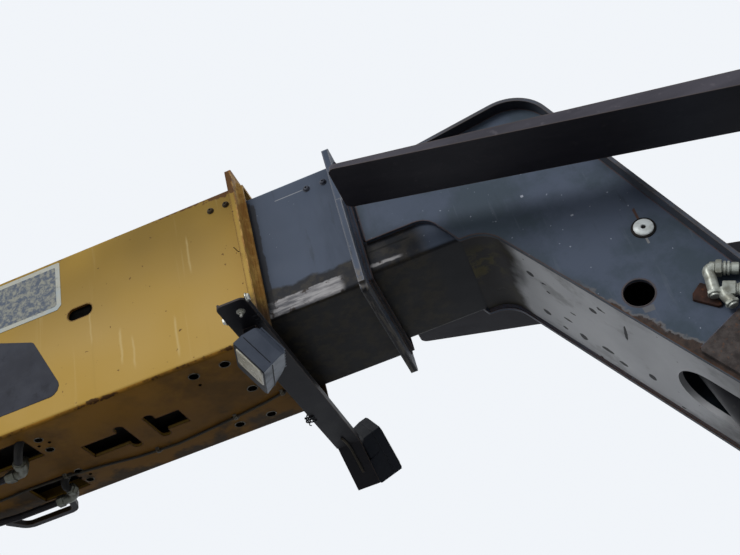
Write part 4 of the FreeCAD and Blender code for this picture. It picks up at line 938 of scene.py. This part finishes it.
# Pipe ends at the windows in the outer section's floor: union nuts, curved bodies, and
# hoses that rise into the window
pipeLook = {
    # Nuts: place, axis, profile, sides
    "nuts": [((3.560, -0.042, -0.2160), (1, 0, 0),
              [(0, 0.0075), (0, 0.0115), (0.006, 0.0115), (0.007, 0.0135), (0.021, 0.0135), (0.022, 0.0110),
               (0.028, 0.0105), (0.028, 0)], 6),
             ((3.611, -0.072, -0.2185), (0.34, -0.94, 0),
              [(0, 0.010), (0, 0.0135), (0.012, 0.0135), (0.013, 0.011), (0.018, 0.011), (0.019, 0)], 6),
             ((3.6045, -0.050, -0.2185), (0.1, 0.1, 1), [(0, 0.004), (0, 0.0098), (0.030, 0.0098), (0.030, 0)], 18),
             ((3.578, 0.122, -0.2160), (1, 0, 0),
              [(0, 0.0075), (0, 0.0135), (0.014, 0.0135), (0.015, 0.0115), (0.020, 0.0112), (0.020, 0)], 6),
             ((3.6335, 0.094, -0.2185), (-0.15, -0.99, 0),
              [(0, 0.010), (0, 0.0135), (0.012, 0.0135), (0.013, 0.011), (0.018, 0.011), (0.019, 0)], 6)],
    "bodies": [[(3.586, -0.043, -0.2160), (3.600, -0.047, -0.2185), (3.611, -0.062, -0.219), (3.618, -0.080, -0.2185)],
               [(3.596, 0.122, -0.216), (3.612, 0.118, -0.2185), (3.626, 0.106, -0.219), (3.633, 0.092, -0.2185)]],
    "bodyRadius": 0.0105,
    "hoses": [[(3.618, -0.088, -0.2185), (3.629, -0.104, -0.2165), (3.641, -0.120, -0.206), (3.650, -0.122, -0.188),
               (3.672, -0.112, -0.150)],
              [(3.631, 0.078, -0.2185), (3.629, 0.068, -0.216), (3.634, 0.060, -0.205), (3.652, 0.058, -0.185),
               (3.690, 0.060, -0.150)]],
    "hoseRadius": 0.0088,
    "clamps": (0.800, 1.250, 1.850, 2.400, 2.950), "clampAcross": (-0.112, 0.114), "clampLevel": -0.2270,
    # Saddles over the cable: places, and the arch as shares of its width and height
    "saddles": [(3.452, 0.052), (3.640, 0.054), (3.845, 0.088), (4.036, 0.0745), (4.155, 0.050)],
    "arch": [(-1, 0.0), (-0.62, 0.12), (-0.36, 0.72), (0, 0.92), (0.36, 0.72), (0.62, 0.12), (1, 0.0)],
}


def pipeEnds():
    s = pipeLook
    parts = [turned(*nut) for nut in s["nuts"]]
    parts += [carried(smoothPath(path, 0.002), s["bodyRadius"], 16) for path in s["bodies"]]
    addPiece("pipe_unions", parts, greenZinc, "outer")
    hoses = [carried(smoothPath(path, 0.003), s["hoseRadius"], 14) for path in s["hoses"]]
    addPiece("window_hoses", hoses, hoseRubber, "outer")
    bolts = [part for x in s["clamps"] for y in s["clampAcross"]
             for part in hexHead((x, y, s["clampLevel"]), (0, 0, -1), 0.0055, False)]
    addPiece("clamp_bolts", bolts, zincPlate, "outer")
    saddles = []
    for x, y in s["saddles"]:
        for shift in (-0.003, 0, 0.003):
            arch = [(x + shift, y + 0.0105 * c, -0.2002 - 0.0078 * h) for c, h in s["arch"]]
            saddles.append(carried(smoothPath(arch, 0.001), 0.0013, 6))
    addPiece("cable_saddles", saddles, dullScrew, "outer")


# Hydraulic fittings on the head's near side
fittingLook = {
    "side": -0.165, "pipe": 0.0075, "lean": (0.903, 0, -0.430),
    # Upper and lower union: place along x and z, sections, and the elbow down from it
    "upper": (4.9946, -0.409), "lower": (4.9965, -0.4550),
    "upperSteps": [(0.010, 0.0112, 20), (0.011, 0.0150, 6), (0.002, 0.0095, 20), (0.004, 0.0125, 20),
                   (0.002, 0.0095, 20), (0.004, 0.0125, 20), (0.002, 0.009, 20), (0.013, 0.0105, 20)],
    "upperLength": 0.048,
    "lowerSteps": [(0.022, 0.0140, 6), (0.003, 0.010, 20), (0.010, 0.0115, 20)],
    # Quick couplings through the bracket's plate: x and z, sections behind and ahead of it
    "couplings": [(5.0700, -0.434), (5.0745, -0.458), (5.0610, -0.402)],
    "couplingSteps": [(-0.150, [(0.012, 0.0105, 6), (0.014, 0.0, 0), (0.010, 0.0115, 6)]),
                      (-0.114, [(0.020, 0.0118, 32), (0.003, 0.0095, 24), (0.012, 0.0112, 32)]),
                      (-0.079, [(0.010, 0.0125, 24)])],
    "torn": [(4.953, -0.4365), (4.9728, -0.4215), (4.9859, -0.4352), (4.9811, -0.4533), (4.9892, -0.4768),
             (4.980, -0.4764), (4.9479, -0.4479)],
}


def headFittings():
    s = fittingLook
    y, lean = s["side"], np.array(s["lean"])
    upper, lower = (np.array((x, y, z)) for x, z in (s["upper"], s["lower"]))
    end = upper + lean * s["upperLength"]
    parts = fitting(upper, lean, s["upperSteps"])
    elbow = [upper + lean * 0.004, upper + np.array((-0.004, 0, -0.006)), upper + np.array((-0.006, 0, -0.020)),
             (4.9850, y, -0.446), (4.983, y, -0.4585)]
    parts.append(carried(smoothPath(elbow, 0.002), 0.0102, 16))
    parts += fitting((4.983, y, -0.4545), (-0.25, 0, -1), [(0.006, 0.0125, 6), (0.004, 0.0085, 20)])
    parts += fitting(lower, lean, s["lowerSteps"])
    elbow = [lower + lean * 0.004, lower + np.array((-0.001, 0, -0.012)), (4.9985, y, -0.4790), (4.999, y, -0.4850)]
    parts.append(carried(smoothPath(elbow, 0.002), 0.0098, 16))
    parts += fitting((4.999, y, -0.4820), (0.05, 0, -1), [(0.006, 0.0120, 6), (0.004, 0.0080, 20)])
    addPiece("head_unions", parts, paleZinc, "inner")
    # Rigid pipes on to the couplings in the bracket
    pipes = [[end - lean * 0.004, end + lean * 0.018, (5.0560, y + 0.010, -0.436), (5.0645, y + 0.022, -0.4345),
              (5.0700, -0.136, -0.434)],
             [lower + lean * 0.030, lower + lean * 0.050, (5.052, y + 0.008, -0.483), (5.064, y + 0.020, -0.474),
              (5.0745, -0.138, -0.458)]]
    addPiece("head_pipes", [carried(smoothPath(path, 0.003), s["pipe"], 14) for path in pipes], blackPaint, "inner")
    parts = []
    for x, z in s["couplings"]:
        for start, steps in s["couplingSteps"]:
            parts += fitting((x, start, z), (0, 1, 0), steps)
    addPiece("quick_couplings", parts, brightZinc, "inner")
    # Torn, rusty bracket that once held the pipes
    torn = slab(rounded(s["torn"], 0.003, 3), (0, -0.148, 0), (1, 0, 0), (0, 0, 1), 0.0060, 0.0015)
    addPiece("pipe_bracket", [torn], tornSteel, "inner")


# Head: pin discs, lips of the access holes, nose pin's keepers and nipples
headLook = {
    "disc": [(0, 0), (0, 0.0172), (0.0012, 0.0172), (0.0020, 0.0160), (0.0020, 0.0050), (0.0004, 0.0042), (0.0004, 0)],
    "rim": [(0, 0.0178), (0, 0.0225), (0.0022, 0.0215), (0.0030, 0.0186), (0.0024, 0.0178)],
    "centre": [(0, 0.0040), (0.0003, 0.0038), (0.0003, 0)],
    "discSide": 0.151, "rimSide": 0.148, "centreSide": 0.1514,
    "access": (4.875, -0.396), "accessRadius": 0.0278, "accessSide": 0.1476,
    "noseRing": [(0, 0.012), (0, 0.033), (0.0018, 0.031), (0.0018, 0.012)], "noseSide": 0.195,
    "keeper": [(5.120, -0.826), (5.158, -0.812), (5.168, -0.836), (5.130, -0.850)], "keeperSide": 0.189,
    "keeperBolts": [(5.136, -0.833), (5.155, -0.827)],
}


def nipple(place, axis, size):
    return turned(place, axis, [(0, 0), (0, size * 1.3), (size * 0.8, size * 1.3), (size * 0.9, size * 0.7),
                                (size * 1.8, size * 0.62), (size * 2.1, size * 0.8), (size * 2.5, size * 0.55),
                                (size * 2.6, 0)], 16)


def headPins():
    s = headLook
    discs, rims, lips, parts, plates = [], [], [], [], []
    angle = np.linspace(0, 2 * math.pi, 72)
    x, z = basePin
    noseX, noseZ = nosePin
    holeX, holeZ = s["access"]
    r = s["accessRadius"]
    for side in (-1, 1):
        out = (0, side, 0)
        discs.append(turned((x, side * s["discSide"], z), out, s["disc"], 40))
        rims += [turned((x, side * s["rimSide"], z), out, s["rim"], 40),
                 turned((x, side * s["centreSide"], z), out, s["centre"], 16)]
        lip = np.stack([holeX + r * np.cos(angle), np.full(72, side * s["accessSide"]), holeZ + r * np.sin(angle)], 1)
        lips.append(carried(lip, 0.0012, 8))
        # Nose pin: grease nipple in its end, ring, keeper plate with two bolts
        face = side * s["noseSide"]
        parts += [nipple((noseX, side * 0.1955, noseZ), out, 0.0055),
                  turned((noseX, face, noseZ), out, s["noseRing"], 40)]
        for boltX, boltZ in s["keeperBolts"]:
            parts += hexHead((boltX, face, boltZ), out, 0.0062)
        outline, u, v = s["keeper"], (1, 0, 0), (0, 0, 1)
        if side > 0:
            outline, u, v = [(b, a) for a, b in outline], v, u
        plates.append(slab(rounded(outline, 0.004, 3), (0, side * s["keeperSide"], 0), u, v, 0.006, 0.001))
    addPiece("base_pin_faces", discs, pinWhite, "inner")
    addPiece("base_pin_rims", rims, blackGrime, "inner")
    addPiece("access_hole_lips", lips, topPlateSteel, "inner")
    addPiece("nose_pin_trim", parts, zincPlate, "carriage")
    addPiece("nose_pin_keepers", plates, plainGrey, "carriage")


# Tilt cylinder: gland, ports and the pipe along its barrel. Reaches are measured from the
# base pin down the cylinder, and out from its middle.
cylinderLook = {
    "down": (0.18273, 0, -0.98316), "out": (0.98316, 0, 0.18273), "ports": (0.085, 0.372),
    "gland": (0.395, [(0, 0.049), (0, 0.0545), (0.002, 0.056), (0.020, 0.056), (0.022, 0.0545), (0.024, 0.051),
                      (0.0245, 0.0525), (0.031, 0.0525), (0.033, 0.050), (0.033, 0.027), (0.030, 0.0255)]),
    "band": (0.066, [(0, 0.049), (0.001, 0.0525), (0.007, 0.0525), (0.008, 0.049)]),
    "boss": [(0, 0), (0, 0.014), (0.014, 0.014), (0.016, 0.012), (0.016, 0)],
    "union": [(0.008, 0.0105, 6), (0.003, 0.008, 20), (0.008, 0.0095, 6)],
    "pipe": [(0.372, 0.078), (0.360, 0.085), (0.335, 0.080), (0.30, 0.062), (0.20, 0.0605), (0.13, 0.0605)],
}


def tiltCylinder():
    s = cylinderLook
    base = np.array((basePin[0], 0, basePin[1]))
    down, out = np.array(s["down"]), np.array(s["out"])
    parts = [turned(base + down * reach, down, profile, 48) for reach, profile in (s["gland"], s["band"])]
    for reach in s["ports"]:
        parts.append(turned(base + down * reach + out * 0.045, out, s["boss"]))
        parts += fitting(base + down * reach + out * 0.061, out, s["union"])
    pipe = [base + down * reach + out * aside for reach, aside in s["pipe"]]
    parts.append(carried(smoothPath(pipe, 0.004), 0.006, 12))
    addPiece("tilt_cylinder_trim", parts, blackPaint, "tilt_cylinder_barrel")


# Carriage: beads round the beams, set collars and end discs of the fork shaft
carriageLook = {
    # Beams: rear, front, bottom and top, measured from the nose pin along the carriage
    "beams": [(0.2320, 0.2920, 0.0500, 0.1400), (0.2810, 0.3310, -0.3300, -0.2400)],
    "plates": (0.195, 0.215, 0.560), "bead": 0.0038, "tilt": 5.93,
    "collar": [(0, 0.0302), (0, 0.042), (0.0015, 0.0435), (0.0165, 0.0435), (0.018, 0.042), (0.018, 0.0302)],
    "collarSide": 0.346, "end": [(0, 0), (0, 0.030), (0.0004, 0.030), (0.0005, 0.010), (0.0002, 0.009), (0.0002, 0)],
    "endSide": 0.5945,
}


def onCarriage(ahead, across, above):
    # From the carriage's own directions at the nose pin to the frame's.
    turn = math.radians(carriageLook["tilt"])
    return (nosePin[0] + ahead * math.cos(turn) - above * math.sin(turn), across,
            nosePin[1] + ahead * math.sin(turn) + above * math.cos(turn))


def carriageTrim():
    s = carriageLook
    x, z = (shaftLow.x + shaftHigh.x) / 2, (shaftLow.z + shaftHigh.z) / 2
    parts = []
    for side in (-1, 1):
        # Split set collar outside each tine, with its screw
        out = (0, side, 0)
        parts.append(turned((x, side * s["collarSide"], z), out, s["collar"], 40))
        parts += hexHead((x, side * (s["collarSide"] + 0.009), z + 0.0425), (0, 0, 1), 0.0050, False)
        parts.append(turned((x, side * s["endSide"], z), out, s["end"], 32))
    addPiece("fork_shaft_collars", parts, zincPlate, "carriage")
    beads = []
    for rear, front, bottom, top in s["beams"]:
        ring = [(rear, bottom), (front, bottom), (front, top), (rear, top), (rear, bottom)]
        for y in s["plates"]:
            beads += [weldBead([onCarriage(u, side * y, w) for u, w in ring], s["bead"], 0.006) for side in (1, -1)]
    addPiece("carriage_welds", beads, plainGrey, "carriage")


screws()
sideSigns()
slotShadeFlaps()
welds()
lampDetails("near")
lampDetails("far")
farLampShell()
barFittings()
pipeEnds()
headFittings()
headPins()
tiltCylinder()
carriageTrim()
print("stage 3: fittings, welds and trim")


# Camera, light and floor
viewLook = {
    # Low beside the boom, looking up and along it, as in the photograph
    "place": (4.645, -1.612, -1.243), "lens": 46.2, "sensor": 36.0,
    "right": (0.92430, 0.30517, -0.22922), "up": (0.36364, -0.52174, 0.77172), "back": (0.11591, -0.79666, -0.59321),
    "background": (0.88, 0.91, 0.95, 1), "sky": (0.93, 0.96, 1.0, 1),
    # The sky's strength from below the horizon to above it
    "skyHeight": (-0.25, 0.35), "skyStrength": (0.12, 1.0),
    "sun": 1.6, "sunAngle": 25, "sunDirection": (0.35, 0.80, -0.48),
    # The floor is pale to the eye, but throws little light up under the boom
    "floorSize": 14.0, "floorGap": 0.06, "floorDark": (0.10, 0.10, 0.10, 1), "floorPale": (0.78, 0.80, 0.82, 1),
}


def placeCamera():
    data = bpy.data.cameras.new("camera")
    data.sensor_width = viewLook["sensor"]
    data.lens = viewLook["lens"]
    data.clip_end = 100
    camera = bpy.data.objects.new("camera", data)
    bpy.context.collection.objects.link(camera)
    turn = Matrix([viewLook[key] for key in ("right", "up", "back")]).transposed().to_4x4()
    camera.matrix_world = Matrix.Translation(viewLook["place"]) @ turn
    bpy.context.scene.camera = camera


def directRays(tree):
    # 1 for what the camera sees straight, in a reflection or through glass.
    path = tree.nodes.new("ShaderNodeLightPath")
    total = path.outputs["Is Camera Ray"]
    for ray in ("Is Glossy Ray", "Is Transmission Ray"):
        either = tree.nodes.new("ShaderNodeMath")
        either.operation = "MAXIMUM"
        tree.links.new(total, either.inputs[0])
        tree.links.new(path.outputs[ray], either.inputs[1])
        total = either.outputs[0]
    return total


def lightScene():
    world = bpy.data.worlds.new("world")
    bpy.context.scene.world = world
    world.use_nodes = True
    tree = world.node_tree
    tree.nodes.clear()
    out = tree.nodes.new("ShaderNodeOutputWorld")
    mix = tree.nodes.new("ShaderNodeMixShader")
    seen = tree.nodes.new("ShaderNodeBackground")
    light = tree.nodes.new("ShaderNodeBackground")
    seen.inputs[0].default_value = viewLook["background"]
    # The light comes mostly from above: bright sky, dimmer below the horizon
    coordinates = tree.nodes.new("ShaderNodeTexCoord")
    split = tree.nodes.new("ShaderNodeSeparateXYZ")
    level = tree.nodes.new("ShaderNodeMapRange")
    level.inputs["From Min"].default_value, level.inputs["From Max"].default_value = viewLook["skyHeight"]
    level.inputs["To Min"].default_value, level.inputs["To Max"].default_value = viewLook["skyStrength"]
    tree.links.new(coordinates.outputs["Generated"], split.inputs[0])
    tree.links.new(split.outputs[2], level.inputs["Value"])
    light.inputs[0].default_value = viewLook["sky"]
    tree.links.new(level.outputs[0], light.inputs[1])
    tree.links.new(directRays(tree), mix.inputs[0])
    tree.links.new(light.outputs[0], mix.inputs[1])
    tree.links.new(seen.outputs[0], mix.inputs[2])
    tree.links.new(mix.outputs[0], out.inputs[0])
    sun = bpy.data.lights.new("key", "SUN")
    sun.energy = viewLook["sun"]
    sun.angle = math.radians(viewLook["sunAngle"])
    key = bpy.data.objects.new("key", sun)
    bpy.context.collection.objects.link(key)
    key.rotation_euler = Vector(viewLook["sunDirection"]).to_track_quat("-Z", "Y").to_euler()


def layFloor():
    size, level = viewLook["floorSize"], cadLow.z - viewLook["floorGap"]
    mesh = bpy.data.meshes.new("floor")
    corners = [(-size, -size, level), (size * 1.8, -size, level), (size * 1.8, size, level), (-size, size, level)]
    mesh.from_pydata(corners, [], [(0, 1, 2, 3)])
    floor = bpy.data.objects.new("floor", mesh)
    bpy.context.collection.objects.link(floor)
    material = bpy.data.materials.new("floor")
    material.use_nodes = True
    tree = material.node_tree
    bsdf = tree.nodes["Principled BSDF"]
    bsdf.inputs["Roughness"].default_value = 0.9
    mix = tree.nodes.new("ShaderNodeMix")
    mix.data_type = "RGBA"
    mix.inputs[6].default_value = viewLook["floorDark"]
    mix.inputs[7].default_value = viewLook["floorPale"]
    tree.links.new(directRays(tree), mix.inputs[0])
    tree.links.new(mix.outputs[2], bsdf.inputs["Base Color"])
    mesh.materials.append(material)


placeCamera()
lightScene()
layFloor()
bpy.context.scene.view_settings.view_transform = "Standard"
print("stage 4: camera, light and floor")
